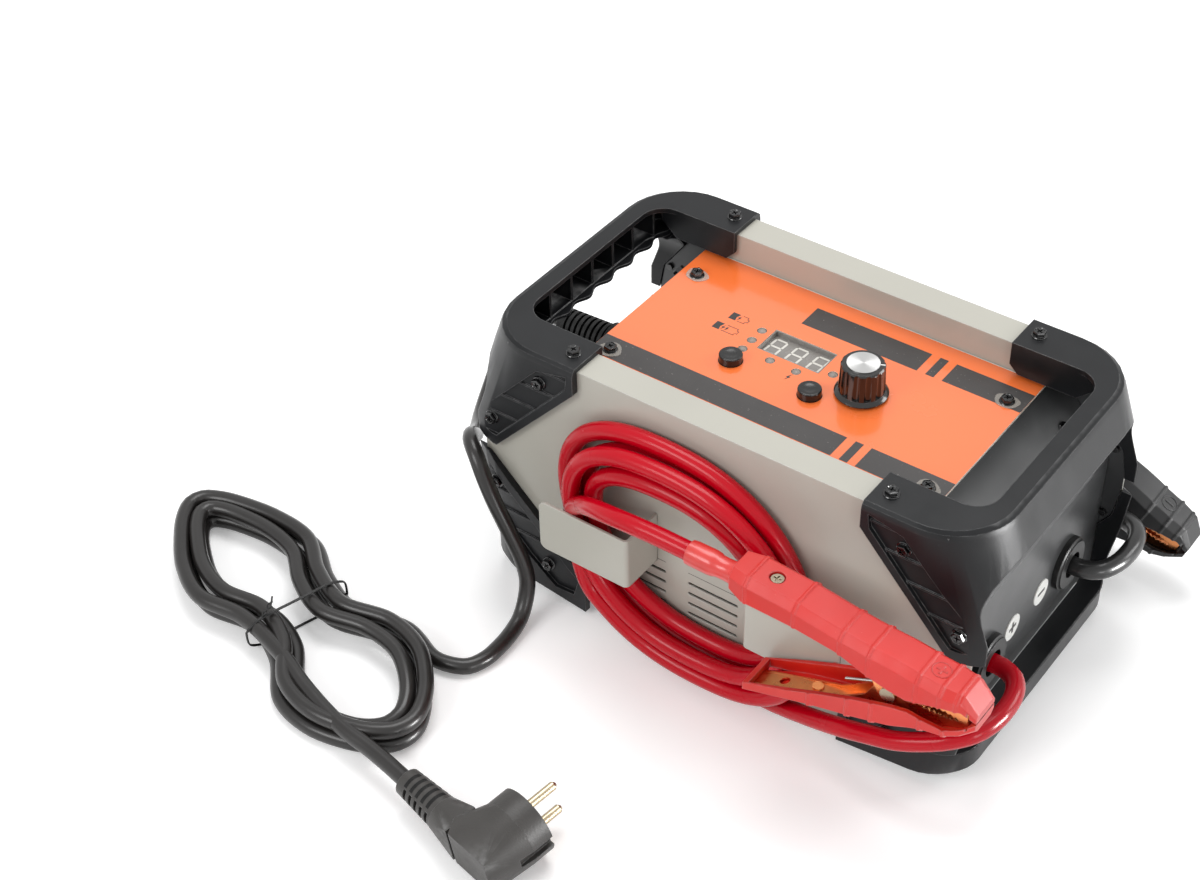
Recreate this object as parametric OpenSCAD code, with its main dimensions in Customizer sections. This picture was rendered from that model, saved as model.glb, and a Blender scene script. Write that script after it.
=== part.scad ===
// Battery charger in a folded steel case, with two moulded handle frames,
// a pair of clamp leads wound on side hooks and a tied mains lead.
// X runs along the case (the leads leave at +X), Y to the back, Z up.
// The origin is on the ground under the middle of the case. Millimetres.

/* [Case] */
// Half width across the steel covers
cover_half_w = 82; // [78:0.5:88]
// Height of the cover rails above the ground
cover_top = 166.5; // [160:0.5:175]
// Half length of the covers' straight top and bottom edges
top_half = 104; // [100:0.5:108]
// Half length of the covers at their pointed ends
apex_x = 147; // [144:0.5:149]
// Thickness of the cover sheet
cover_t = 1.2; // [0.8:0.1:1.6]
// Width of the flat rail along the top of each cover
rail_w = 18; // [15:0.5:21]
// Depth of the control plate below the rails
plate_drop = 17.1; // [14:0.1:20]
// Width of the ledge that carries the control plate
ledge_w = 10; // [6:0.5:12]
// Thickness of the control plate
plate_t = 1.5; // [1:0.1:2]
// Distance of the end plates' upright faces from the middle
end_x = 137; // [134:0.5:139]
// Height where the end plates start to lean in
lean_z = 105; // [100:0.5:112]
// Thickness of the end plates, along the case
end_t = 1.8; // [1.2:0.1:2.5]

/* [Vents] */
// Number of slots in one column
vent_rows = 5; // [3:1:6]
// Length of a slot
vent_l = 31; // [20:0.5:36]
// Height of a slot
vent_h = 2; // [1.2:0.1:3]
// Distance between slots
vent_pitch = 7.2; // [6:0.1:8]
// Distance between the columns
vent_col = 45; // [42:0.5:48]
// Height of the top row
vent_top = 57.9; // [52:0.5:62]

/* [Handle frames] */
// How far the frames stand out from the covers
frame_proud = 4.5; // [3.8:0.1:6]
// Thickness of the frames' top skin
skin_t = 3; // [2.4:0.1:4]
// Wall of the handles
wall_t = 3.2; // [2.4:0.1:4]
// Corner radius of the frames seen from above
frame_r = 36; // [32:0.5:38]
// Corner radius of the frames' low bars seen from above
bar_r = 22; // [18:0.5:24]
// Reach of the frames at the gap between upper and lower ones
reach_mid = 168.8; // [166:0.2:172]
// Reach of the handle's lower edge
reach_handle = 154; // [152:0.2:156]
// Reach of the handle's top edge
reach_top = 148.5; // [147.5:0.1:150]
// How far the bottom bars stand out past the ends of the case
bar_out = 13; // [10:0.2:16]
// Inner edge of the frames' arms, from the middle
arm_x = 84; // [80:0.5:88]
// Inner edge of the handle's top
grip_x = 135; // [133:0.5:137]
// Half width of the open top between the arms
recess_half_w = 60.4; // [58:0.1:61]
// Height of the handle's underside
grip_z = 149; // [147:0.2:150]
// Half width of the open ends between the posts
mouth_half_w = 80; // [77:0.5:80.5]
// Height of the upper frames' lower edge
gap_top = 95.5; // [93:0.5:97]
// Height of the lower frames' upper edge
gap_low = 87; // [84:0.5:88]
// Height of the bottom bar's top
bar_z = 27; // [24:0.5:30]
// Number of finger bays under each handle
grip_bays = 8; // [6:1:10]
// Depth of the panels sunk in the frames' sides
panel_depth = 2.4; // [1.5:0.1:2.8]

/* [Hooks] */
// Distance of a hook's outer face from the middle
hook_y = 109; // [107:0.5:114]
// Distance of a hook's return from the middle
hook_in = 35; // [32:0.5:38]
// Distance of a hook's open end from the middle
hook_out = 91; // [84:0.5:94]
// Height of a hook's lower edge
hook_z = 64; // [62:0.5:66]
// Height of a hook
hook_h = 32; // [28:0.5:34]
// Thickness of a hook
hook_t = 1.5; // [1:0.1:2]

/* [Feet] */
// Height of the rubber feet
foot_h = 7; // [6:0.5:10]
// Radius of the rubber feet
foot_r = 8; // [6.5:0.5:9]
// Distance of the feet from the middle, along the case
foot_x = 65; // [50:1:85]
// Distance of the feet from the middle, across the case
foot_y = 68; // [55:1:70]

/* [Controls] */
// Width of the display window
display_w = 37.6; // [30:0.2:39]
// Depth of the display window
display_d = 19; // [15:0.2:19.4]
// Radius of the indicator lamps
lamp_r = 2.5; // [1.5:0.1:2.8]
// Radius of a button
button_r = 6.25; // [5:0.05:6.8]
// Height of a button above the plate
button_h = 4.5; // [3.5:0.1:6]
// Travel of a button
button_travel = 1.5; // [1:0.1:1.6]
// Radius of the knob's skirt
knob_skirt_r = 14; // [12.5:0.1:14.6]
// Radius of the knob's fluted body
knob_r = 12; // [10.5:0.1:12.2]
// Height of the knob's top above the plate
knob_h = 20; // [16:0.5:24]
// Number of flutes round the knob
knob_flutes = 12; // [8:1:16]
// Radius of the knob's shaft
shaft_r = 3; // [2.5:0.1:3.5]

/* [Leads] */
// Diameter of a clamp lead
lead_d = 10; // [8:0.1:10.2]
// Diameter of the mains lead
mains_d = 9; // [7:0.1:9.2]
// Outer radius of a lead grommet
grommet_r = 15; // [12:0.5:15]
// Distance of the grommets from the middle
grommet_y = 43; // [40:0.5:46]
// Height of the grommets
grommet_z = 59.5; // [54:0.5:64]

/* [Clamps] */
// Half width of a clamp
clamp_half_w = 12; // [11.5:0.1:13]
// Wall of the clamp's handles
clamp_wall = 2.4; // [1.8:0.1:2.5]
// Half width of the upper copper jaw
jaw_half_w = 6.6; // [6:0.1:6.8]
// Thickness of the copper
jaw_t = 1.2; // [0.8:0.1:1.4]
// Radius of the clamp's pivot pin
pivot_r = 2.4; // [2:0.1:3]

/* [Hidden] */
$fn = 32;

gap = 0.3;           // clearance between pieces that are set against each other
run_gap = 0.05;      // radial clearance of a running fit
plate_z = cover_top - plate_drop;
plate_half_w = cover_half_w - rail_w - 0.4;
frame_w = cover_half_w + frame_proud;
frame_top = cover_top + skin_t;
inner_w = cover_half_w - cover_t;
room_w = cover_half_w + gap;
tray_top = foot_h + cover_t;

// Screws
screw_r = 1.9;
screw_hole_r = 2.1;
screw_l = 5;
washer_r = 4.2;
washer_h = 0.8;
head_r = 3.5;
head_h = 2.4;

// Lobes of the frames on the case sides, in x and z
lobe_drop = 12.5;
lobe_tip = 137;
foot_lobe_x = 80;
foot_lobe_z = 3;
foot_lobe_h = 22.8;
foot_tip = 144;
bar_low = 14;
reach_bar = end_x + bar_out;
reach_foot = 140;
flange_h = 2.4;
rail_screw = [92.5, 73.5];
upper_screws = [[107, 150.5], [140, 112.5]];
lower_screws = [[106, 24], [139, 68]];
plate_screw = [94.3, 40];
lean_screw_y = 60;
lean_screw_s = 0.44;
lean_tilt = atan2(plate_z - plate_t - lean_z, end_x - top_half - gap);

// Controls
board_drop = 9;
board_t = 1.6;
board_top = plate_z - plate_t - board_drop;
board_half_l = 60;
board_y = [-28, 32];
display_at = [-14, 14.5];
lamps = [[-38.5, 18.8], [-38.5, 9], [-38.5, 0.2], [-21.4, 0], [-5.4, -0.2], [11.3, 8.6]];
left_button_at = [-38.2, -11.4];
right_button_at = [10.1, -12.1];
knob_at = [31, 3.8];
switch_h = 3.5;
switch_w = 12;
stem_r = 1.75;
button_lip = 1;
nut_h = 2;
skirt_h = 2.6;
bushing_r = shaft_r + 1.2;

// Inside
boss_h = 10;
boss_at = [85, 52];
main_top = tray_top + boss_h + board_t;
main_half = [95, 60];
core = [56, 44, 46];
core_at = [-35, 6];
sink = [80, 34, 48];
sink_at = [46, 6];
sink_base = 6;
sink_fins = 8;
rectifier = [16, 5, 21];
rectifier_leg = [1.2, 0.8, 6.5];
rectifier_pitch = 5;
capacitor_r = 11;
capacitor_h = 36;
capacitor_y = [-38, -12, 34];
relay = [28, 16, 22];
relay_x = [-20, 12];
terminal_y = 30;
fan_w = 60;
fan_t = 15;
fan_x = -112;
fan_bore_r = 28.5;
fan_hub_r = 13;
fan_blades = 7;
fan_shaft_r = 1.5;
fan_z = tray_top + 2 + fan_w / 2;

// Leads
grommet_proud = 4.5;
grommet_hole_r = 7.5;
disc_y = 15.5;
disc_r = 7.5;
boot_y = 22;
boot_z = 95;
boot_l = 37;
boot_r = 9.75;
boot_tip_r = 8.75;
boot_pitch = 3.7;
boot_rings = 8;
lead_sides = 8;
loop_rings = 24;
loop_sides = 6;

// Clamps: u runs to the jaws, v up, both from the pivot
red_pivot = [128.5, -122, 105];
black_pivot = [131.3, 122, 40.6];
black_tilt = 21.5;
clamp_chamfer = 4;
pin_head_r = 4;

// ---------- curves and swept tubes ----------

function unit(v) = v / norm(v);
function fix_normal(n, t) = unit(n - (n * t) * t);
function tangent(p, i) = unit(p[min(i + 1, len(p) - 1)] - p[max(i - 1, 0)]);
// Normals carried along the points without twist
function normals(p, i = 0, n = undef) =
    let (t = tangent(p, i))
    let (first = abs(t.z) < 0.9 ? [0, 0, 1] : [1, 0, 0])
    let (m = fix_normal(is_undef(n) ? first : n, t))
    i == len(p) - 1 ? [m] : concat([m], normals(p, i + 1, m));
// Solid skin over equal rings of points, closed at both ends
module skin(rings) {
    n = len(rings[0]);
    m = len(rings);
    sides = [for (i = [0:m - 2], j = [0:n - 1]) each [
        [i * n + j, i * n + (j + 1) % n, (i + 1) * n + j],
        [i * n + (j + 1) % n, (i + 1) * n + (j + 1) % n, (i + 1) * n + j]]];
    low = [for (j = [1:n - 2]) [0, j + 1, j]];
    high = [for (j = [1:n - 2]) [(m - 1) * n, (m - 1) * n + j, (m - 1) * n + j + 1]];
    polyhedron([for (r = rings) each r], concat(sides, low, high));
}

// Round tube of radius r along the points p
module tube(p, r, n) {
    normal = normals(p);
    skin([for (i = [0:len(p) - 1])
        let (t = tangent(p, i))
        let (b = cross(normal[i], t))
        [for (j = [0:n - 1]) p[i] + r * (cos(360 * j / n) * normal[i] + sin(360 * j / n) * b)]]);
}

// Least distance between points of a winding that lie over one turn step apart
function least(p, skip) = min([for (i = [0:len(p) - 1], j = [i + skip:1:len(p) - 1]) norm(p[i] - p[j])]);

// ---------- small parts that repeat ----------

module both_sides() {
    children();
    mirror([0, 1, 0]) children();
}

module both_ends() {
    children();
    mirror([1, 0, 0]) children();
}

module four_ways() both_ends() both_sides() children();

// Pan head screw with washer; it seats at z = 0 and points down
module screw(l = screw_l) {
    difference() {
        union() {
            cylinder(r = washer_r, h = washer_h);
            translate([0, 0, washer_h]) rotate_extrude() difference() {
                square([head_r, head_h]);
                translate([head_r, head_h]) circle(head_h * 0.4);
            }
        }
        for (a = [0, 90]) rotate(a) translate([-2, -0.45, washer_h + head_h - 1.4]) cube([4, 0.9, 2]);
    }
    translate([0, 0, -l]) cylinder(r = screw_r, h = l);
}

// Places children where the side screws of an end go, pointing out to -Y
module side_places(places, y) {
    for (p = places) translate([p.x, -y, p.y]) rotate([90, 0, 0]) children();
}

module rounded_rect(w, h, r) {
    translate([-w / 2 + r, -h / 2]) square([w - 2 * r, h]);
    translate([-w / 2, -h / 2 + r]) square([w, h - 2 * r]);
    for (x = [-1, 1], y = [-1, 1]) translate([x * (w / 2 - r), y * (h / 2 - r)]) circle(r);
}

// ---------- steel case ----------

// Outline of a cover's side, in x and z; it swells outwards by d
function side_outline(d = 0) =
    let (right = [[top_half, cover_top], [apex_x - 3, lean_z + 7], [apex_x, gap_top],
        [apex_x, gap_low], [apex_x - 3, gap_low - 18], [top_half, foot_h]])
    concat([for (p = right) [p.x + d, p.y]], [for (i = [5:-1:0]) [-right[i].x - d, right[i].y]]);

module side_plate(y0, y1, d = 0) {
    translate([0, y1, 0]) rotate([90, 0, 0]) linear_extrude(y1 - y0) polygon(side_outline(d));
}

module vent_slots() {
    for (c = [-1:1], k = [0:vent_rows - 1])
        translate([c * vent_col, -cover_half_w - 1, vent_top - k * vent_pitch])
            rotate([-90, 0, 0]) linear_extrude(cover_t + 2) rounded_rect(vent_l, vent_h, vent_h / 2 - 0.01);
}

module cover() {
    ledge_z = plate_z - plate_t - cover_t;
    ledge_l = 2 * (top_half - end_t - gap);
    difference() {
        union() {
            side_plate(-cover_half_w, -inner_w);
            translate([-top_half, -cover_half_w, cover_top - cover_t]) cube([2 * top_half, rail_w, cover_t]);
            translate([-ledge_l / 2, -cover_half_w + rail_w - cover_t, ledge_z])
                cube([ledge_l, cover_t, cover_top - ledge_z]);
            translate([-ledge_l / 2, -cover_half_w + rail_w - cover_t, ledge_z]) cube([ledge_l, ledge_w, cover_t]);
        }
        vent_slots();
        for (e = [0, 1]) mirror([e, 0, 0]) {
            translate([rail_screw.x, -rail_screw.y, cover_top - 3]) cylinder(r = screw_hole_r, h = 6);
            side_places(concat(upper_screws, lower_screws), cover_half_w - 3)
                cylinder(r = screw_hole_r, h = 6);
            translate([hook_in - gap, -cover_half_w - 1, hook_z - gap])
                cube([hook_t + 2 * gap, cover_t + 2, hook_h + 2 * gap]);
        }
    }
}

module front_cover() { color("#b3b1a8") cover(); }
module rear_cover() { color("#b3b1a8") mirror([0, 1, 0]) cover(); }

module base_tray() {
    half_l = end_x - 9;
    side_l = top_half + 8;
    wall_y = inner_w - gap;
    color("#3a3b3d") difference() {
        union() {
            translate([-half_l, -wall_y, foot_h]) cube([2 * half_l, 2 * wall_y, cover_t]);
            both_sides() translate([-side_l, -wall_y, foot_h]) cube([2 * side_l, cover_t, 22]);
            four_ways() translate([boss_at.x, boss_at.y, foot_h]) cylinder(r = 4, h = boss_h + cover_t);
        }
        four_ways() {
            translate([boss_at.x, boss_at.y, foot_h + cover_t + 1]) cylinder(r = 1.3, h = boss_h);
            translate([foot_x, foot_y, foot_h - 1]) cylinder(r = screw_hole_r, h = 4);
            side_places([lower_screws[0]], wall_y - 3) cylinder(r = screw_hole_r, h = 6);
        }
    }
}

// Folded end plate at +X
module end_plate() {
    top = plate_z - plate_t;
    lean = [top_half + gap, top];
    wall_y = inner_w - gap;
    half_y = cover_half_w - rail_w - ledge_w;
    low = end_x - 9;
    fold = [lean, [end_x, lean_z], [end_x, bar_z], [low, tray_top + end_t]];
    back = [for (i = [3:-1:0]) [fold[i].x - end_t, fold[i].y]];
    translate([0, wall_y, 0]) rotate([90, 0, 0]) linear_extrude(2 * wall_y) polygon(concat(fold, back));
    translate([arm_x, -half_y, top - end_t]) cube([top_half + gap - arm_x, 2 * half_y, end_t]);
    translate([low - 12, -wall_y + 14, tray_top]) cube([12, 2 * wall_y - 28, end_t]);
    both_sides() translate([end_x - 14, -wall_y, bar_z + 4]) cube([13, cover_t, lean_z - bar_z - 10]);
}

// Places children at the screws in the leaning part of an end plate, along its normal
module lean_places() {
    x = top_half + gap + lean_screw_s * (end_x - top_half - gap);
    z = plate_z - plate_t + lean_screw_s * (lean_z - plate_z + plate_t);
    both_sides() translate([x, -lean_screw_y, z]) rotate([0, lean_tilt, 0]) children();
}

module end_holes() {
    both_sides() translate([plate_screw.x, plate_screw.y, plate_z - 6]) cylinder(r = screw_hole_r, h = 8);
    lean_places() translate([0, 0, -5]) cylinder(r = screw_hole_r, h = 10);
}

module right_end_plate() {
    color("#303133") difference() {
        end_plate();
        end_holes();
        both_sides() translate([end_x - 5, grommet_y, grommet_z]) rotate([0, 90, 0])
            cylinder(r = grommet_hole_r + 2 + gap, h = 10);
    }
}

module left_end_plate() {
    color("#303133") mirror([1, 0, 0]) difference() {
        end_plate();
        end_holes();
        translate([end_x - 5, boot_y, boot_z]) rotate([0, 90, 0]) cylinder(r = boot_r - 2 + gap, h = 10);
    }
}

module control_plate() {
    color("#f0763a") difference() {
        translate([-top_half, -plate_half_w, plate_z - plate_t]) cube([2 * top_half, 2 * plate_half_w, plate_t]);
        translate([display_at.x - display_w / 2, display_at.y - display_d / 2, plate_z - 5])
            cube([display_w, display_d, 10]);
        for (p = lamps) translate([p.x, p.y, plate_z - 5]) cylinder(r = lamp_r + 0.15, h = 10);
        for (p = [left_button_at, right_button_at])
            translate([p.x, p.y, plate_z - 5]) cylinder(r = button_r + gap, h = 10);
        translate([knob_at.x, knob_at.y, plate_z - 5]) cylinder(r = bushing_r + 0.1, h = 10);
        four_ways() translate([plate_screw.x, plate_screw.y, plate_z - 5]) cylinder(r = screw_hole_r, h = 10);
    }
}

// ---------- moulded handle frames ----------

// Plan of a frame at one height: square inside, round at its two outer corners
module frame_plan(reach, half_w, r) {
    start = arm_x - 24;
    translate([start, -half_w]) square([reach - r - start, 2 * half_w]);
    translate([start, r - half_w]) square([reach - start, 2 * (half_w - r)]);
    for (s = [-1, 1]) translate([reach - r, s * (half_w - r)]) circle(r);
}

module frame_slice(z, reach, half_w, r) {
    translate([0, 0, z - 0.01]) linear_extrude(0.01) frame_plan(reach, half_w, r);
}

module upper_shell() {
    hull() {
        frame_slice(gap_top - 1, reach_mid, frame_w, frame_r);
        frame_slice(gap_top + 12.5, reach_mid, frame_w, frame_r);
        frame_slice(grip_z, reach_handle, frame_w, frame_r);
        frame_slice(frame_top - 4.5, reach_top, frame_w, frame_r);
        frame_slice(frame_top - 1.5, reach_top - 1.5, frame_w - 0.8, frame_r - 1);
        frame_slice(frame_top, reach_top - 4.5, frame_w - 2.5, frame_r - 3);
    }
}

// Hollow inside the handle, split into finger bays by thin ribs
module grip_bays_cut() {
    low = grip_z + flange_h;
    difference() {
        hull() {
            frame_slice(low, reach_handle - wall_t - 1, mouth_half_w, frame_r - wall_t);
            frame_slice(cover_top, reach_top - wall_t - 1, mouth_half_w, frame_r - wall_t);
        }
        for (k = [1:grip_bays - 1])
            translate([grip_x - 1, (2 * k / grip_bays - 1) * (recess_half_w + 14) - 0.8, low - 1])
                cube([30, 1.6, cover_top - low + 2]);
    }
}

// Inner edge of the handle's lower flange, one shallow wave to each finger bay
function grip_wave(x) = [for (i = [0:8 * grip_bays])
    let (y = (2 * i / (8 * grip_bays) - 1) * (recess_half_w + 14))
    [x + 1.6 * cos(45 * i), y]];

module open_top() {
    r = 13.5;
    low = grip_z + flange_h - 0.5;
    translate([0, 0, low]) linear_extrude(frame_top - low + 1) {
        translate([0, -recess_half_w]) square([grip_x - r, 2 * recess_half_w]);
        translate([0, r - recess_half_w]) square([grip_x, 2 * (recess_half_w - r)]);
        for (s = [-1, 1]) translate([grip_x - r, s * (recess_half_w - r)]) circle(r);
    }
}

// Opening between the posts, round at its top corners
module upper_mouth() {
    r = 28;
    translate([arm_x, 0, 0]) rotate([90, 0, 90]) linear_extrude(reach_mid) {
        translate([-mouth_half_w, 0]) square([2 * mouth_half_w, grip_z - r]);
        translate([r - mouth_half_w, 0]) square([2 * (mouth_half_w - r), grip_z]);
        for (s = [-1, 1]) translate([s * (mouth_half_w - r), grip_z - r]) circle(r);
    }
}

module along_y(half) { rotate([90, 0, 0]) translate([0, 0, -half]) linear_extrude(2 * half) children(); }

// Panel sunk in the side of a frame, crossed by thin ribs
module sunk_panel(outline, rib_z) {
    floor_y = frame_w - panel_depth;
    both_sides() difference() {
        translate([0, -floor_y, 0]) rotate([90, 0, 0]) linear_extrude(20) polygon(outline);
        for (z = rib_z) translate([arm_x - 10, -floor_y - 0.9, z - 0.6]) cube([80, 1.9, 1.2]);
    }
}

module upper_frame() {
    tip = [lobe_tip, gap_top];
    arm_z = cover_top - lobe_drop;
    outline = [[arm_x, frame_top + 1], [arm_x, arm_z], tip, [reach_mid + 9, gap_top], [reach_mid + 9, frame_top + 1]];
    panel = [[arm_x + 4, frame_top - 5.5], [arm_x + 5, arm_z + 1.5], [lobe_tip - 0.5, gap_top + 7],
        [lobe_tip + 8, gap_top + 7], [lobe_tip + 10, gap_top + 20], [arm_x + 23, frame_top - 10]];
    difference() {
        intersection() {
            upper_shell();
            along_y(frame_w + 1) polygon(outline);
        }
        grip_bays_cut();
        translate([0, -room_w, 0]) cube([grip_x - 7, 2 * room_w, cover_top]);
        side_plate(-room_w, room_w, gap + 0.1);
        upper_mouth();
        open_top();
        translate([0, 0, grip_z - 1]) linear_extrude(flange_h + 2)
            polygon(concat([[arm_x, -recess_half_w - 14]], grip_wave(grip_x - 3.5), [[arm_x, recess_half_w + 14]]));
        sunk_panel(panel, [for (k = [0:3]) cover_top - 7 - 14 * k]);
        both_sides() {
            translate([rail_screw.x, rail_screw.y, cover_top - 1]) cylinder(r = screw_hole_r, h = 9);
            side_places(upper_screws, cover_half_w - 1) cylinder(r = screw_hole_r, h = 9);
        }
    }
    both_sides() skirt();
}

// Inner lip of an arm, beside the rail
module skirt() {
    low = plate_z + 1.6;
    x1 = grip_x - 3;
    translate([0, recess_half_w + 2.6, 0]) rotate([90, 0, 0]) linear_extrude(2.6)
        polygon([[arm_x, frame_top - 0.5], [arm_x, low + 5], [arm_x + 5, low], [x1 - 10, low],
            [x1, low + 9], [x1, frame_top - 0.5]]);
}

module lower_frame() {
    floor_z = bar_z - skin_t;
    outline = [[foot_lobe_x, foot_lobe_z], [foot_lobe_x, foot_lobe_z + foot_lobe_h], [foot_tip, gap_low],
        [reach_mid + 9, gap_low], [reach_mid + 9, bar_low], [reach_bar, bar_low - 1], [foot_tip - 16, foot_lobe_z + 6]];
    panel = [[foot_tip + 1.5, gap_low - 6.5], [98.8, 36.3], [foot_lobe_x + 4.5, foot_lobe_z + 20.5],
        [foot_lobe_x + 8, foot_lobe_z + 8.8], [100.6, 11], [118, bar_z - 2], [foot_tip + 1.5, gap_low - 34]];
    difference() {
        intersection() {
            union() {
                hull() {
                    frame_slice(foot_lobe_z, reach_foot, frame_w, bar_r);
                    frame_slice(bar_low, reach_bar, frame_w, bar_r);
                    frame_slice(bar_z, reach_bar, frame_w, bar_r);
                }
                hull() {
                    frame_slice(bar_z, reach_bar + 0.5, frame_w, bar_r);
                    frame_slice(gap_low - 25, reach_mid - 2.8, frame_w, frame_r);
                    frame_slice(gap_low, reach_mid, frame_w, frame_r);
                }
            }
            along_y(frame_w + 1) polygon(outline);
        }
        hull() {
            frame_slice(-1, reach_foot - wall_t, frame_w - wall_t - 2, bar_r - wall_t);
            frame_slice(bar_low, reach_bar - wall_t, frame_w - wall_t - 2, bar_r - wall_t);
            frame_slice(floor_z, reach_bar - wall_t, frame_w - wall_t - 2, bar_r - wall_t);
        }
        translate([0, -room_w - 0.1, -1]) cube([end_x + gap, 2 * room_w + 0.2, gap_low + 2]);
        side_plate(-room_w, room_w, gap + 0.1);
        translate([arm_x, -mouth_half_w, bar_z]) cube([reach_mid, 2 * mouth_half_w, gap_low]);
        sunk_panel(panel, [for (k = [0:3]) gap_low - 12 - 12.4 * k]);
        both_sides() side_places(lower_screws, cover_half_w - 1) cylinder(r = screw_hole_r, h = 9);
    }
}

module right_upper_frame() { color("#2b2c2e") upper_frame(); }
module left_upper_frame() { color("#2b2c2e") mirror([1, 0, 0]) upper_frame(); }
module right_lower_frame() { color("#2b2c2e") lower_frame(); }
module left_lower_frame() { color("#2b2c2e") mirror([1, 0, 0]) lower_frame(); }

// ---------- hooks, feet and fasteners ----------

// Bent strip: a foot inside the cover, a return through its slot and the plate outside
module hook() {
    r = 3;
    out_l = hook_out - hook_in;
    difference() {
        translate([hook_in, 0, hook_z]) linear_extrude(hook_h) {
            translate([0, -inner_w]) square([12, hook_t - gap]);
            translate([0, -hook_y + r]) square([hook_t, hook_y - r - inner_w + 0.1]);
            translate([r, -hook_y]) square([out_l - r, hook_t]);
            translate([r, -hook_y + r]) intersection() {
                difference() {
                    circle(r);
                    circle(r - hook_t);
                }
                translate([-r, -r]) square(r);
            }
        }
        for (s = [-1, 1]) translate([hook_out, -hook_y, hook_z + hook_h / 2 * (1 + s)]) rotate([-90, 0, 0])
            translate([-4, s * 4, -1]) difference() {
                translate([0, s > 0 ? -5 : 0, 0]) cube([5, 5, hook_t + 2]);
                translate([0, 0, -1]) cylinder(r = 4, h = hook_t + 4);
            }
    }
}

module side_hooks() { color("#b3b1a8") four_ways() hook(); }

module rubber_feet() {
    color("#1c1c1d") four_ways() translate([foot_x, foot_y, 0]) difference() {
        cylinder(r1 = foot_r - 0.8, r2 = foot_r, h = foot_h);
        translate([0, 0, -1]) cylinder(r = washer_r + gap, h = foot_h - 1.5);
        cylinder(r = screw_hole_r, h = foot_h + 1);
    }
}

module case_screws() {
    floor_y = frame_w - panel_depth;
    color("#26272a") {
        four_ways() {
            translate([foot_x, foot_y, foot_h - 2.5]) rotate([180, 0, 0]) screw();
            translate([rail_screw.x, rail_screw.y, frame_top]) screw();
            side_places(concat(upper_screws, lower_screws), floor_y) screw();
            translate([plate_screw.x, plate_screw.y, plate_z]) screw();
        }
        both_ends() lean_places() screw();
    }
}

// ---------- controls ----------

module display_module() {
    h = plate_z - 0.3 - board_top;
    color("#d8d6d2") translate([display_at.x, display_at.y, board_top + h / 2])
        cube([display_w - 2 * gap, display_d - 2 * gap, h], center = true);
}

module indicator_lamps() {
    color("#e8e6e2") for (p = lamps) translate([p.x, p.y, board_top]) {
        cylinder(r = lamp_r + 0.4, h = 4);
        cylinder(r = lamp_r, h = plate_z - board_top - 0.6);
        translate([0, 0, plate_z - board_top - 0.6]) intersection() {
            translate([0, 0, -1.8]) sphere(r = sqrt(lamp_r * lamp_r + 1.8 * 1.8));
            cylinder(r = lamp_r, h = 3);
        }
    }
}

// Button cap with a lip under the plate and a stem down to its switch
module button() {
    low = plate_z - plate_t - gap - button_lip;
    stem_low = board_top + switch_h - 0.4;
    translate([0, 0, low]) cylinder(r = button_r + 1, h = button_lip);
    translate([0, 0, low]) rotate_extrude() difference() {
        square([button_r, plate_z + button_h - low]);
        translate([button_r - 0.8, plate_z + button_h - low - 0.8]) difference() {
            square(2);
            circle(0.8);
        }
        translate([0, plate_z + button_h - low + 14]) circle(14.5);
    }
    translate([0, 0, stem_low]) cylinder(r = stem_r, h = low - stem_low + 0.1);
}

module left_button() { color("#1b1b1c") translate([left_button_at.x, left_button_at.y, 0]) button(); }
module right_button() { color("#1b1b1c") translate([right_button_at.x, right_button_at.y, 0]) button(); }

module tact_switches() {
    color("#3c3c40") for (p = [left_button_at, right_button_at]) translate([p.x, p.y, board_top]) difference() {
        translate([-switch_w / 2, -switch_w / 2, 0]) cube([switch_w, switch_w, switch_h]);
        translate([0, 0, switch_h - 2.4]) cylinder(r = stem_r + gap, h = 3);
    }
}

module control_board() {
    color("#2f6b3f") difference() {
        translate([-board_half_l, board_y[0], board_top - board_t])
            cube([2 * board_half_l, board_y[1] - board_y[0], board_t]);
        for (x = [-1, 1], y = board_y) translate([x * (board_half_l - 4), y - 4 * sign(y), board_top - 4])
            cylinder(r = 1.3, h = 8);
    }
}

module board_posts() {
    color("#c9c9c9") for (x = [-1, 1], y = board_y)
        translate([x * (board_half_l - 4), y - 4 * sign(y), board_top]) cylinder(r = 2.6, h = board_drop, $fn = 6);
}

module knob_body() {
    low = plate_z + 0.6;
    skirt_top = plate_z + skirt_h;
    top = plate_z + knob_h - 0.5;
    flute_r = 2.4;
    color("#161616") translate([knob_at.x, knob_at.y, 0]) difference() {
        rotate_extrude() polygon([[0, low], [knob_skirt_r - 0.8, low], [knob_skirt_r, low + 0.8],
            [knob_skirt_r, skirt_top - 0.8], [knob_skirt_r - 0.8, skirt_top], [knob_r, skirt_top + 0.8],
            [knob_r - 0.6, top - 0.8], [knob_r - 1.4, top], [0, top]]);
        for (k = [0:knob_flutes - 1]) rotate(360 * (k + 0.5) / knob_flutes)
            translate([knob_r + 1.3, 0, skirt_top + 1]) cylinder(r = flute_r, h = knob_h);
        translate([0, 0, plate_z]) cylinder(r = bushing_r + 3.2, h = nut_h + 2);
        translate([0, 0, plate_z]) cylinder(r = shaft_r, h = knob_h - 4);
    }
}

module knob_cap() {
    color("#c4c4c6") translate([knob_at.x, knob_at.y, plate_z + knob_h - 0.5]) cylinder(r = knob_r - 3.5, h = 0.5);
}

module knob_shaft() {
    low = board_top + 2.4;
    color("#b9b9bb") translate([knob_at.x, knob_at.y, low]) cylinder(r = shaft_r, h = plate_z + knob_h - 4 - low);
}

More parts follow.
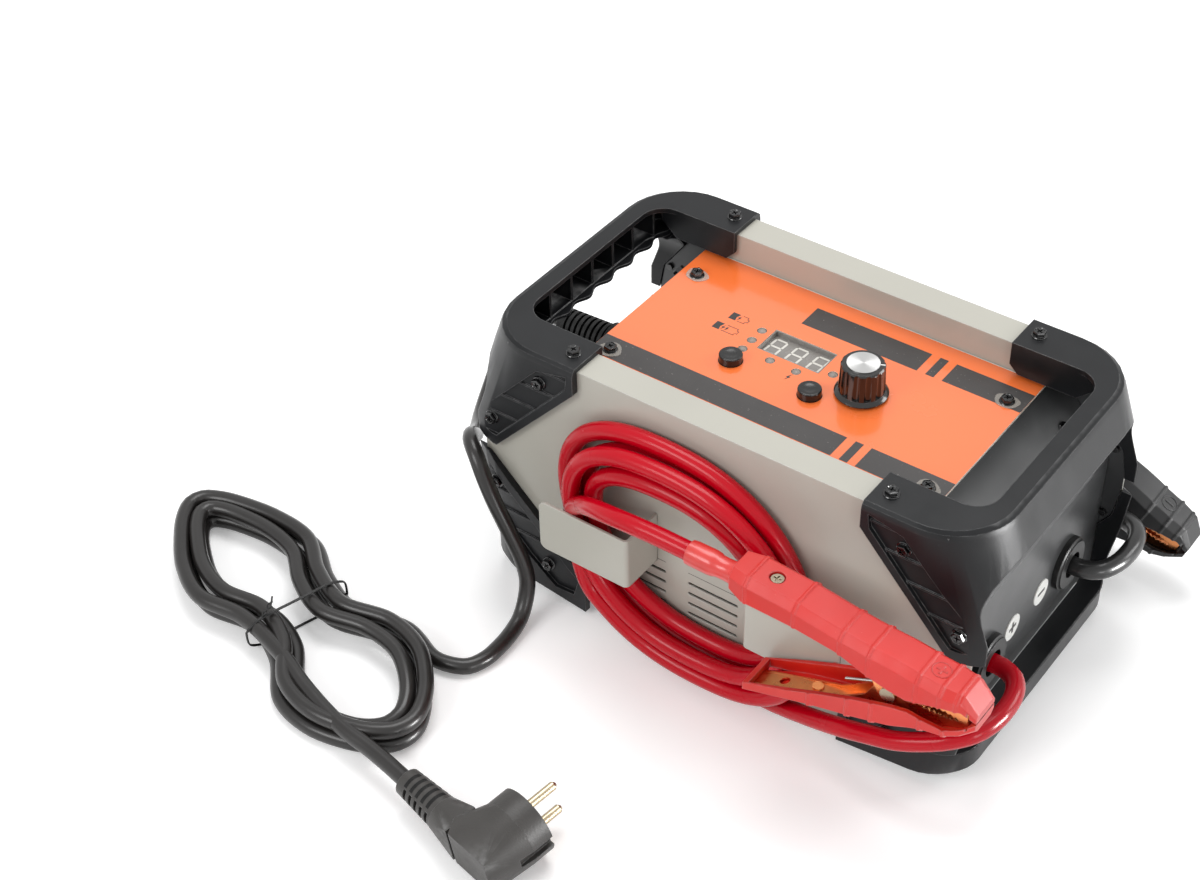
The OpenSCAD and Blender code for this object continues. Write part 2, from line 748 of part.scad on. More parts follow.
module potentiometer() {
    bush_h = plate_z + nut_h + 1 - board_top;
    color("#6d6f73") translate([knob_at.x, knob_at.y, board_top]) difference() {
        union() {
            cylinder(r = 8.5, h = board_drop - 0.2);
            cylinder(r = bushing_r, h = bush_h);
            translate([0, 0, plate_z - board_top]) cylinder(r = bushing_r + 2.2, h = nut_h, $fn = 6);
        }
        translate([0, 0, 2]) cylinder(r = shaft_r + run_gap, h = bush_h);
    }
}

// ---------- inside the case ----------

module main_board() {
    color("#2f6b3f") difference() {
        translate([-main_half.x, -main_half.y, main_top - board_t]) cube([2 * main_half.x, 2 * main_half.y, board_t]);
        four_ways() translate([boss_at.x, boss_at.y, main_top - 4]) cylinder(r = 1.6, h = 8);
    }
}

// Ferrite core with two windows round its middle leg
module transformer_core() {
    leg = core.x / 4;
    color("#3b3b3d") translate([core_at.x, core_at.y, main_top]) difference() {
        translate([-core.x / 2, -core.y / 2, 0]) cube(core);
        for (s = [-1, 1]) translate([s * (leg / 2 + core.x / 8) - core.x / 8, -core.y, leg / 2])
            cube([core.x / 4, 2 * core.y, core.z - leg]);
    }
}

module transformer_winding() {
    leg = core.x / 4;
    wind = core.x / 4 - 1.6;
    h = core.z - leg - 1;
    color("#b8692f") translate([core_at.x, core_at.y, main_top + leg / 2 + 0.5]) linear_extrude(h) difference() {
        rounded_rect(leg + 2 * wind, core.y + 2 * wind, 5);
        square([leg + 2 * gap, core.y + 2 * gap], center = true);
    }
}

module heat_sink() {
    fin_step = sink.x / sink_fins;
    color("#a9abae") translate([sink_at.x - sink.x / 2, sink_at.y - sink.y / 2, main_top]) {
        cube([sink.x, sink_base, sink.z]);
        for (k = [0:sink_fins - 1]) translate([(k + 0.5) * fin_step - 1, 0, 0]) cube([2, sink.y, sink.z]);
    }
}

module rectifiers() {
    color("#202022") for (k = [-1:1])
        translate([sink_at.x + k * sink.x / 3.6 - rectifier.x / 2, sink_at.y - sink.y / 2 - rectifier.y,
            main_top + rectifier_leg.z - 0.5]) {
            cube(rectifier);
            for (p = [-1:1])
                translate([rectifier.x / 2 - rectifier_leg.x / 2 + p * rectifier_pitch, 2, 0.5 - rectifier_leg.z])
                    cube(rectifier_leg);
        }
}

module capacitors() {
    color("#2c3d63") for (y = capacitor_y)
        translate([-main_half.x + capacitor_r + 5, y, main_top]) cylinder(r = capacitor_r, h = capacitor_h);
}

module relays() {
    color("#2a5ea8") for (x = relay_x)
        translate([x, -main_half.y + relay.y / 2, main_top]) cube(relay);
}

// Two brass studs that take the inner ends of the leads
module output_terminals() {
    color("#c9a24a") both_sides() translate([main_half.x - 9, terminal_y, main_top]) {
        cylinder(r = 6, h = 8, $fn = 6);
        cylinder(r = 3, h = 16);
    }
}

module fan_bracket() {
    color("#8f9194") {
        translate([fan_x - cover_t - 0.2, -fan_w / 2, tray_top]) difference() {
            cube([cover_t, fan_w, fan_w + 4]);
            translate([-1, fan_w / 2, fan_w / 2 + 2]) rotate([0, 90, 0]) cylinder(r = fan_bore_r, h = 4);
        }
        translate([fan_x - cover_t - 0.2, -fan_w / 2, tray_top]) cube([10, fan_w, cover_t]);
    }
}

module fan_frame() {
    color("#1d1d1f") translate([fan_x, 0, fan_z]) {
        difference() {
            translate([0, -fan_w / 2, -fan_w / 2]) cube([fan_t, fan_w, fan_w]);
            translate([-1, 0, 0]) rotate([0, 90, 0]) cylinder(r = fan_bore_r, h = fan_t + 2);
        }
        difference() {
            union() {
                rotate([0, 90, 0]) cylinder(r = fan_hub_r, h = 2);
                for (a = [0:90:270]) rotate([a + 45, 0, 0]) translate([0, 0, 5]) cube([2, 3, fan_bore_r - 4.6]);
            }
            translate([-1, 0, 0]) rotate([0, 90, 0]) cylinder(r = fan_shaft_r + run_gap, h = 5);
        }
    }
}

module fan_rotor() {
    color("#2a2a2c") translate([fan_x, 0, fan_z]) {
        translate([2.5, 0, 0]) rotate([0, 90, 0]) cylinder(r = fan_hub_r, h = fan_t - 4);
        rotate([0, 90, 0]) cylinder(r = fan_shaft_r, h = 4);
        for (k = [0:fan_blades - 1]) rotate([360 * k / fan_blades, 0, 0])
            translate([fan_t / 2 + 0.4, 0, fan_hub_r - 1]) rotate([0, 0, 35])
                translate([-5, -0.7, 0]) cube([10, 1.4, fan_bore_r - fan_hub_r - 0.5]);
    }
}

// ---------- leads where they leave the case ----------

module grommet() {
    barrel_r = grommet_hole_r + 2;
    rotate([0, 90, 0]) difference() {
        union() {
            translate([0, 0, -end_t - 3]) cylinder(r = barrel_r, h = end_t + 3.2);
            rotate_extrude() difference() {
                square([grommet_r, grommet_proud]);
                translate([grommet_r, grommet_proud]) circle(1.4);
            }
        }
        translate([0, 0, -end_t]) cylinder(r = grommet_hole_r, h = 20);
    }
}

module red_grommet() { color("#b92c31") translate([end_x, -grommet_y, grommet_z]) grommet(); }
module black_grommet() { color("#222224") translate([end_x, grommet_y, grommet_z]) grommet(); }

module polarity_discs() {
    color("#ececea") both_sides() translate([end_x, disc_y, grommet_z]) rotate([0, 90, 0])
        cylinder(r = disc_r, h = 0.6);
}

// Ribbed strain relief of the mains lead, at -X
module mains_boot() {
    step = (boot_r - boot_tip_r) / boot_rings;
    color("#202022") translate([-end_x, boot_y, boot_z]) rotate([0, -90, 0]) {
        cylinder(r = boot_r + 1.8, h = 3);
        translate([0, 0, -end_t - 1]) cylinder(r = boot_r - 2, h = end_t + 2);
        translate([0, 0, -end_t - 3]) cylinder(r = boot_r, h = 2.6);
        cylinder(r1 = boot_r - 2.2, r2 = boot_tip_r - 2, h = boot_l);
        for (k = [0:boot_rings - 1]) translate([0, 0, 5 + k * boot_pitch])
            cylinder(r = boot_r - k * step, h = boot_pitch * 0.55);
    }
}

// ---------- clamps ----------

// Side view of the handles: [u, underside, top]; v is measured from the pivot
upper_side = [[-87, 21.5, 33], [-79, 18.5, 33], [-50, 18, 31], [-26, 15.5, 27.5], [-10, 10, 26],
    [2, 7.5, 25.5], [11, 6.5, 24.5], [17, 8.5, 23.5], [29, 12.5, 22.5], [38, 13.5, 21.5], [45.5, 9.3, 13.5]];
lower_side = [[-77.5, -45.5, -37], [-52, -35.5, -25.5], [-38, -31, -19], [-16, -25, -9.5], [3, -19, -2.7],
    [12, -14.5, -0.5], [20, -11, -1.2], [30, -7.5, -1.2], [38, -3.8, 2], [45.5, 3, 8.5]];
upper_ridges = [-77, -50, -25, -9.5, 15.5, 27.5, 35.5];
lower_ridges = [-39.5, -19, -6, 19, 31];
ridge = 0.5;
jaw_seat = 3.3;
jaw_slot = 3;
teeth = 10;
tooth = 1.1;
bite_u = [12, 40.4];
upper_bite = [0.8, 4, 3.6];
lower_bite = [0.2, 3.2, -2];
grip_screw_u = -66.4;
grip_screw_r = 1.5;
sleeve_l = 35;
sleeve_r = 6.6;
sleeve_v = 21.5;
sleeve_end = -116;
spring_wire = 0.8;
spring_r = 3.7;
spring_turns = 3;

function col(table, k) = [for (r = table) [r.x, r[k]]];
// Half width of a handle: full over most of its length, less at both ends
function grip_w(u, table) =
    let (a = table[0].x, b = table[len(table) - 1].x)
    clamp_half_w * lookup(u, [[a, 0.86], [a + 8, 1], [b - 14, 1], [b, 0.72]]);
function on_ridge(u, ridges) = len([for (r = ridges) if (abs(u - r) < 0.6) 1]) > 0 ? ridge : 0;
// Cuts of a handle across u, chamfered on the outer side (dir 1 is up, -1 is down)
function grip_ring(u, table, ridges, dir) =
    let (low = lookup(u, col(table, 1)), high = lookup(u, col(table, 2)), e = on_ridge(u, ridges))
    let (inner = dir > 0 ? low : high, outer = (dir > 0 ? high : low) + dir * e, w = grip_w(u, table) + e)
    let (c = min(clamp_chamfer, abs(outer - inner) * 0.45))
    [for (p = [[-w, inner], [-w, outer - dir * c], [-w + c, outer], [w - c, outer], [w, outer - dir * c], [w, inner]])
        [u, dir * p.x, p.y]];
function sorted(v) = len(v) < 2 ? v
    : let (p = v[0]) concat(sorted([for (x = v) if (x < p) x]), [p],
        sorted([for (i = [1:len(v) - 1]) if (v[i] > p) v[i]]));
function grip_cuts(table, ridges) =
    sorted(concat([for (r = table) r.x], [for (r = ridges) each [r - 1.1, r - 0.5, r + 0.5, r + 1.1]]));

// Channel that a handle leaves for its copper jaw and spring
module grip_channel(table, dir) {
    w = clamp_half_w - clamp_wall;
    nose = len(table) - 2;
    pts = [for (i = [0:nose]) [table[i].x + (i == 0 ? clamp_wall + 1 : 0),
        (dir > 0 ? table[i][2] : table[i][1]) - dir * jaw_slot]];
    far = -dir * 90;
    rotate([90, 0, 0]) translate([0, 0, -w]) linear_extrude(2 * w)
        polygon(concat(pts, [[pts[nose].x + 4, pts[nose].y - dir * 5], [pts[nose].x + 4, far], [pts[0].x, far]]));
}

module clamp_handle(table, ridges, dir) {
    difference() {
        skin([for (u = grip_cuts(table, ridges)) grip_ring(u, table, ridges, dir)]);
        grip_channel(table, dir);
    }
}

// Row of teeth over the bite: b holds the heights of its two ends and how far it bows between them
function bite(b, dir) = [for (i = [0:2 * teeth])
    let (s = i / (2 * teeth))
    [bite_u[0] + s * (bite_u[1] - bite_u[0]), b[0] + s * (b[1] - b[0]) + b[2] * sin(180 * s) + dir * tooth * (i % 2)]];
function back(list) = [for (i = [len(list) - 1:-1:0]) list[i]];

// Copper jaw bent to a channel: outline in u and v, half width w, its web along the outer side
module jaw(outline, w, dir) {
    difference() {
        rotate([90, 0, 0]) translate([0, 0, -w]) linear_extrude(2 * w) polygon(outline);
        rotate([90, 0, 0]) translate([0, -dir * jaw_t, jaw_t - w]) linear_extrude(2 * (w - jaw_t)) polygon(outline);
        translate([-11, jaw_t - w, -9]) cube([22, 2 * (w - jaw_t), 18]);
        rotate([90, 0, 0]) translate([0, 0, -w - 1]) cylinder(r = pivot_r + run_gap, h = 2 * w + 2);
    }
}

module jaw_upper() {
    web = [for (r = upper_side) if (r.x > -60 && r.x < 40) [r.x, r[2] - jaw_seat]];
    difference() {
        jaw(concat([[-72, lookup(-72, col(upper_side, 2)) - jaw_seat]], web, [[bite_u[1], 12]],
            back(bite(upper_bite, -1)), [[8.5, -1.2], [5, -5], [0, -6.5], [-4.4, -6.3], [-7, -1], [-16, 15],
            [-50, 22], [-72, 28]]), jaw_half_w, 1);
        translate([grip_screw_u, 0, 20]) cylinder(r = grip_screw_r + 0.1, h = 20);
    }
}

module jaw_lower() {
    web = [for (r = lower_side) if (r.x > -74 && r.x < 40) [r.x, r[1] + jaw_seat]];
    w = jaw_half_w - jaw_t - gap;
    difference() {
        jaw(concat([[-74, -40.8]], web, bite_tip(), back(bite(lower_bite, 1)), [[7, 4.5], [3, 6], [-3, 6],
            [-7, 3], [-13, -10], [-30, -22.5], [-52, -31], [-74, -39.4]]), w, -1);
        translate([-59.4, 0, -50]) cylinder(r = 2.6, h = 30);
    }
    translate([-41, 0, lookup(-41, col(lower_side, 1)) + jaw_seat + jaw_t]) cylinder(r = 2.8, h = 1.6);
}
function bite_tip() = [[bite_u[1], lower_bite[1] - 0.6]];

// Spring round the pin: one leg lies over the lower jaw, the other is short
module spring() {
    pitch = 2 * spring_wire + 0.5;
    half = pitch * spring_turns / 2;
    round = [for (k = [0:12 * spring_turns]) [spring_r * sin(30 * k), half - pitch * k / 12, -spring_r * cos(30 * k)]];
    tube(concat([[-28, half, -15.5], [-10, half, -6.8], [-4, half, -4.2]], round, [[-5, -half, -4.2]]), spring_wire, 6);
}

module clamp_pin() {
    w = jaw_half_w + gap;
    rotate([90, 0, 0]) {
        translate([0, 0, -w - 1.5]) cylinder(r = pivot_r, h = 2 * w + 3);
        for (s = [-1, 1]) translate([0, 0, s * (w + 0.8) - 0.8]) cylinder(r = pin_head_r, h = 1.6);
    }
}

module at_red() { translate(red_pivot) children(); }
module at_black() { translate(black_pivot) rotate([0, black_tilt, 0]) mirror([0, 1, 0]) children(); }
module at_both() {
    at_red() children();
    at_black() children();
}

// Upper handle, bored for its lead sleeve and for the recessed screw that holds it on its jaw
module handle_upper() {
    top = lookup(grip_screw_u, col(upper_side, 2));
    difference() {
        clamp_handle(upper_side, upper_ridges, 1);
        translate([grip_screw_u, 0, top - 2]) cylinder(r = 4, h = 12);
        translate([grip_screw_u, 0, top - 12]) cylinder(r = grip_screw_r + 0.1, h = 12);
        translate([upper_side[0].x - 5, 0, sleeve_v]) rotate([0, 90, 0]) cylinder(r = sleeve_r + 0.05, h = 10);
    }
}

module handle_lower() { clamp_handle(lower_side, lower_ridges, -1); }

module grip_screw() {
    translate([grip_screw_u, 0, lookup(grip_screw_u, col(upper_side, 2)) - 2]) difference() {
        union() {
            cylinder(r = 3.2, h = 1.2);
            translate([0, 0, -5]) cylinder(r = grip_screw_r, h = 5);
        }
        for (a = [0, 90]) rotate(a) translate([-2, -0.4, 0.5]) cube([4, 0.8, 2]);
    }
}

module red_clamp_upper() { color("#e24a45") at_red() handle_upper(); }
module red_clamp_lower() { color("#e24a45") at_red() handle_lower(); }
module red_jaw_upper() { color("#c98a5a") at_red() jaw_upper(); }
module red_jaw_lower() { color("#c98a5a") at_red() jaw_lower(); }
module red_spring() { color("#c4c4c6") at_red() spring(); }
module black_clamp_upper() { color("#2a2a2b") at_black() handle_upper(); }
module black_clamp_lower() { color("#2a2a2b") at_black() handle_lower(); }
module black_jaw_upper() { color("#c98a5a") at_black() jaw_upper(); }
module black_jaw_lower() { color("#c98a5a") at_black() jaw_lower(); }
module black_spring() { color("#c4c4c6") at_black() spring(); }
module clamp_fasteners() {
    color("#b9b9bb") at_both() {
        clamp_pin();
        grip_screw();
    }
}
module lead_sleeves() {
    color("#5a3a3a") at_both() translate([sleeve_end, 0, sleeve_v]) rotate([0, 90, 0])
        cylinder(r = sleeve_r, h = sleeve_l);
}

// ---------- leads ----------

// Winding round both hooks of a side: from the bottom, clockwise seen from outside. The loops
// spiral in beside the cover and out again beside the hook plates, u turns from the inmost one.
coil_pitch = 11;
red_in = [53, 48];
red_mid = [-10, 82];
black_in = [55, 43];
black_mid = [-10, 76.5];
coil_lean = 0.22;
coil_turns_in = 2.25;
coil_layer = [88.5, 99.5];
function super(a) = let (p = 2 / 2.4, c = cos(a), s = sin(a))
    [sign(s) * pow(abs(s), p), sign(c) * pow(abs(c), p)];
function coil_point(t, inner, mid) =
    let (u = abs(t - coil_turns_in), e = super(360 * t))
    let (z = -(inner.y + coil_pitch * u) * e.y, x = -(inner.x + coil_pitch * u) * e.x)
    let (climb = min(1, max(0, (t - coil_turns_in) * 2 + 0.5)))
    let (y = coil_layer[0] + (coil_layer[1] - coil_layer[0]) * (0.5 - 0.5 * cos(180 * climb)))
    [mid.x + x - coil_lean * z, -y, mid.y + z];
function coil(t1, inner, mid) = [for (k = [1:loop_rings * t1]) coil_point(k / loop_rings, inner, mid)];

lead_r = lead_d / 2;
coil_gate = [26, -88.5, 9.3];
red_route = [[end_x - end_t, -grommet_y, grommet_z], [end_x + 10, -grommet_y, grommet_z], [155, -47, 60],
    [160, -56, 60.5], [161.5, -67, 60.5], [160.5, -78, 60], [156, -88, 58], [147, -95.5, 54.5], [136, -100, 50],
    [122, -103, 44.5], [106, -103, 39], [90, -101.5, 32.5], [74, -98, 25], [57, -93.5, 17], [43, -90, 11.3],
    [36, -88.5, 9.3], coil_gate];
red_end = red_pivot + [sleeve_end, 0, sleeve_v];
red_tail = [[-75, -101, 92], [-66, -106, 104], [-54, -113, 114], [-40, -118.5, 121], [-24, -121.6, 125.4],
    [-8, red_end.y, red_end.z], red_end];
red_turns = 4.2;

module red_lead() { color("#c21f38") tube(red_route, lead_r, lead_sides); }
module red_coil() {
    turns = coil(red_turns, red_in, red_mid);
    p = concat([coil_gate, coil_gate - [10, 0, 0]], turns, red_tail);
    echo(red_coil_gap = least(turns, 12) - lead_d);
    color("#c21f38") tube(p, lead_r, loop_sides);
}

function flip(p) = [for (q = p) [q.x, -q.y, q.z]];
black_turns = 4.5;
black_dir = [cos(black_tilt), 0, -sin(black_tilt)];
black_up = [sin(black_tilt), 0, cos(black_tilt)];
black_end = black_pivot + sleeve_end * black_dir + sleeve_v * black_up;
black_tail = concat([[-14, 100.8, 144], [-5, 104, 141.2], [2, 108.5, 135.8], [6, 113.2, 128.3],
    [9.5, 118, 120], [15, 121.6, 111.2]], [black_end - 10 * black_dir, black_end]);

module black_lead() { color("#202022") tube(flip(red_route), lead_r, lead_sides); }
module black_coil() {
    turns = coil(black_turns, black_in, black_mid);
    p = concat(flip(concat([coil_gate, coil_gate - [10, 0, 0]], turns)), black_tail);
    echo(black_coil_gap = least(turns, 12) - lead_d);
    color("#202022") tube(p, lead_r, loop_sides);
}

mains_r = mains_d / 2;

// Tied hank: long loops drawn in at the waist, spiralling in on the ground and out on top
hank_mid = [-203, -184];
hank_turn = 163;
hank_half = 97;
hank_wide = 25;
hank_taper = 7;
hank_waist = 4.8;
hank_pitch = 10.6;
hank_turns = 3.5;
hank_lead = 0.1;
tie_d = 1.1;
function hank_point(t) =
    let (u = abs(t - hank_turns / 2), a = 360 * t - 90)
    let (x = (hank_half + hank_pitch * u) * cos(a))
    let (s = x / hank_half, pinch = exp(-s * s * 7))
    let (w = (hank_wide - hank_taper * s + hank_pitch * u) * (1 - pinch) * (1.2 - 0.2 * s * s) + (hank_waist + hank_pitch * 1.05 * u) * pinch)
    let (climb = min(1, max(0, (t - hank_turns / 2) * 4 + 0.5)))
    let (q = [x, w * sin(a)], c = cos(hank_turn), d = sin(hank_turn))
    [hank_mid.x + c * q.x - d * q.y, hank_mid.y + d * q.x + c * q.y,
        mains_r + 0.1 + tie_d * pinch + (mains_d + 0.6) * climb];
function hank() = [for (k = [0:loop_rings * (hank_turns + hank_lead)]) hank_point(k / loop_rings - hank_lead)];
plug_gate = [-74, -243.2, 15.2];
hank_tail = [[-186, -214.5, 15], [-163, -223.5, 14.6], [-141, -230.5, 14.4], [-122, -235, 14.4],
    [-106, -237, 14.6], [-92, -239.4, 14.8], [-83.8, -241.1, 15], plug_gate];

// Mains lead from its boot round the left posts and down to the ground
mains_route = [[-end_x - boot_l, boot_y, boot_z], [-end_x - boot_l - 9, boot_y, boot_z], [-196, 20.5, 90],
    [-206, 16, 77], [-209, 6, 63], [-205, -10, 53], [-197, -28, 50], [-186, -45, 55], [-175, -59, 66],
    [-165.5, -70.5, 78], [-159, -81, 88.5], [-152, -89, 92], [-144, -94.5, 89], [-136.5, -98, 80],
    [-129.5, -100, 70], [-119.5, -100.5, 52.5], [-111.5, -100.5, 36], [-107.5, -102, 24], [-105.4, -107.5, 13],
    [-104, -114, 7], [-102.5, -124, 4.8], [-101.5, -135, 4.6], [-102, -147, 4.6], [-106, -156.5, 4.6],
    [-114, -161, 4.6], hank()[0]];

module mains_cord() { color("#6f6d70") tube(mains_route, mains_r, lead_sides); }
module mains_hank() {
    echo(hank_gap = least(hank(), 10) - mains_d);
    color("#6f6d70") tube(concat(hank(), hank_tail), mains_r, loop_sides);
}

// Wire round the waist of the hank, its twisted ends standing up
module hank_tie() {
    half = hank_waist + hank_pitch * 1.05 * hank_turns / 2 + mains_r + 3.4;
    top = 2 * mains_d + 3.4;
    color("#3a3a3c") translate([hank_mid.x, hank_mid.y, 0]) rotate(hank_turn) {
        translate([-tie_d / 2, 0, top / 2 + 0.1]) rotate([90, 0, 90]) linear_extrude(tie_d) difference() {
            rounded_rect(2 * half + 2 * tie_d - 0.4, top, 5.5);
            rounded_rect(2 * half - 0.4, top - 2 * tie_d + 0.2, 4.4);
        }
        for (s = [-1, 1]) translate([0, -half + 12, top - 0.4]) rotate([s * 50, 20, 0])
            cylinder(r = tie_d / 2, h = 12);
    }
}

// ---------- mains plug: right-angled, two round pins ----------

plug_at = [-7.5, -229.7, 19.9];
plug_turn = [7.4, -1.1, -11.8];
plug_head_r = 18.4;
plug_head_l = 19;
plug_rim_l = 12;
plug_arm_y = -27;
relief_x = -34;
relief_l = 28.5;
pin_space = 19;
pin_l = 19;
pin_r = 2.4;
module at_plug() { translate(plug_at) rotate(plug_turn) children(); }

module mains_plug() {
    color("#77757a") at_plug() difference() {
        union() {
            rotate([90, 0, 0]) cylinder(r = plug_head_r, h = plug_rim_l);
            hull() {
                translate([0, 0.1 - plug_rim_l, 0]) rotate([90, 0, 0]) cylinder(r = plug_head_r, h = 0.1);
                translate([0, -plug_head_l, 0]) rotate([90, 0, 0]) cylinder(r = plug_head_r - 1, h = 0.1);
                translate([-15, plug_arm_y - 10, -12]) cube([27, 1, 24]);
                translate([-20, plug_arm_y - 2, -12]) cube([32, 1, 24]);
            }
            hull() {
                translate([-18, plug_arm_y - 10, -12]) cube([1, 19, 24]);
                translate([relief_x, plug_arm_y, 0]) rotate([0, 90, 0]) cylinder(r = 9.6, h = 0.1);
            }
            translate([relief_x + 0.1, plug_arm_y, 0]) rotate([0, -90, 0]) cylinder(r1 = 9.4, r2 = 7.6, h = relief_l);
        }
        for (k = [0:4], s = [-1, 1]) translate([relief_x - 4 - 4.6 * k - s, plug_arm_y + s * 8, 0])
            cube([2.2, 8, 11], center = true);
        for (s = [-1, 1]) translate([s * (plug_head_r - 1), -8, 0]) cube([4, 24, 6], center = true);
        for (s = [-1, 1]) translate([0, 1, s * pin_space / 2]) rotate([90, 0, 0]) cylinder(r = pin_r, h = 8);
    }
}

module plug_pins() {
    color("#cfc9bd") at_plug() for (s = [-1, 1]) translate([0, -6.9, s * pin_space / 2]) rotate([-90, 0, 0]) {
        cylinder(r = pin_r - 0.02, h = pin_l + 5.4);
        translate([0, 0, pin_l + 5.4]) cylinder(r1 = pin_r - 0.02, r2 = 1, h = 1.5);
    }
}

front_cover();
rear_cover();
base_tray();
right_end_plate();
left_end_plate();
control_plate();
right_upper_frame();
left_upper_frame();
right_lower_frame();
left_lower_frame();
side_hooks();
rubber_feet();
case_screws();
display_module();
indicator_lamps();
left_button();
right_button();
tact_switches();
control_board();
board_posts();
knob_body();
knob_cap();
knob_shaft();
potentiometer();
main_board();
transformer_core();
transformer_winding();
heat_sink();
rectifiers();
capacitors();
relays();
output_terminals();
fan_frame();
fan_rotor();
fan_bracket();
red_grommet();
black_grommet();
polarity_discs();
mains_boot();
mains_cord();
mains_hank();
hank_tie();
mains_plug();
plug_pins();
red_lead();
red_coil();
black_lead();
black_coil();
red_clamp_upper();
red_clamp_lower();
red_jaw_upper();
red_jaw_lower();
red_spring();
black_clamp_upper();
black_clamp_lower();
black_jaw_upper();
black_jaw_lower();
black_spring();
clamp_fasteners();
lead_sleeves();
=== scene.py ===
"""Looks of the battery charger: cords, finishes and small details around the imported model."""

import math

import bmesh
import bpy
import numpy as np
from mathutils import Euler, Matrix, Vector


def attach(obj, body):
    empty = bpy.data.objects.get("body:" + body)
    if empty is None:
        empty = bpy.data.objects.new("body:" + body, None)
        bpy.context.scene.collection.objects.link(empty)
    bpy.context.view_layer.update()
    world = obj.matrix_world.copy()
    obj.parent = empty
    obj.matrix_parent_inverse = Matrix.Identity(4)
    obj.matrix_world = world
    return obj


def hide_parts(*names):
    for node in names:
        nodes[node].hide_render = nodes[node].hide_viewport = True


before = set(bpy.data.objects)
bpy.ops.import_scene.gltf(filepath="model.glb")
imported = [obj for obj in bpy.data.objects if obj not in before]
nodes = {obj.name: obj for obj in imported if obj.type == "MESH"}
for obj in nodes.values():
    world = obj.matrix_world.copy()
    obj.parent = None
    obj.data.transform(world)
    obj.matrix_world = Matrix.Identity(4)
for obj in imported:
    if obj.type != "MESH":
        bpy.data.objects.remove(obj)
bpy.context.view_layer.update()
MM = 0.001

# ---------- camera, solved from the photograph's parallel edges ----------

CAMERA_AT = (0.43279, -0.74408, 0.83744)
CAMERA_TURN = (49.6327, 0.9824, 36.1762)
SENSOR_WIDTH = 36
LENS = 64.276
LENS_SHIFT = (-0.00554, -0.00268)
FAR_CLIP = 30

camera = bpy.data.objects.new("camera", bpy.data.cameras.new("camera"))
bpy.context.scene.collection.objects.link(camera)
bpy.context.scene.camera = camera
camera.data.sensor_width = SENSOR_WIDTH
camera.data.lens = LENS
camera.data.shift_x, camera.data.shift_y = LENS_SHIFT
camera.location = CAMERA_AT
camera.rotation_euler = [math.radians(a) for a in CAMERA_TURN]
camera.data.clip_end = FAR_CLIP


# ---------- materials ----------

class Look:
    """One procedural material: add() makes a node, capital names are its sockets."""

    def __init__(self, name):
        self.material = bpy.data.materials.new(name)
        self.material.use_nodes = True
        self.tree = self.material.node_tree
        self.shader = self.tree.nodes["Principled BSDF"]
        self.place = self.add("TexCoord").outputs["Object"]

    def add(self, kind, **given):
        node = self.tree.nodes.new("ShaderNode" + kind)
        for key, value in given.items():
            if key[0].isupper():
                self.link(node.inputs[key.replace("_", " ")], value)
            else:
                setattr(node, key, value)
        return node

    def link(self, socket, value):
        if isinstance(value, bpy.types.NodeSocket):
            self.tree.links.new(value, socket)
        else:
            socket.default_value = value

    def mix(self, a, b, factor):
        node = self.add("Mix", data_type="RGBA")
        for k, value in ((0, factor), (6, a), (7, b)):
            self.link(node.inputs[k], value)
        return node.outputs[2]

    def math(self, operation, *values):
        node = self.add("Math", operation=operation)
        for socket, value in zip(node.inputs, values):
            self.link(socket, value)
        return node.outputs[0]

    def noise(self, scale, detail=3, place=None, roughness=0.5):
        return self.add("TexNoise", Vector=place or self.place, Scale=scale, Detail=detail,
                        Roughness=roughness).outputs["Fac"]

    def ranged(self, value, low, high, a, b):
        return self.add("MapRange", Value=value, From_Min=low, From_Max=high,
                        To_Min=a, To_Max=b).outputs[0]


def shade(hex_colour, factor=1.0):
    """A hex colour as linear values, made lighter or darker by a factor."""
    made = []
    for k in (0, 2, 4):
        c = int(hex_colour[k:k + 2], 16) / 255
        c = c / 12.92 if c <= 0.04045 else ((c + 0.055) / 1.055) ** 2.4
        made.append(min(1.0, c * factor))
    return (*made, 1.0)


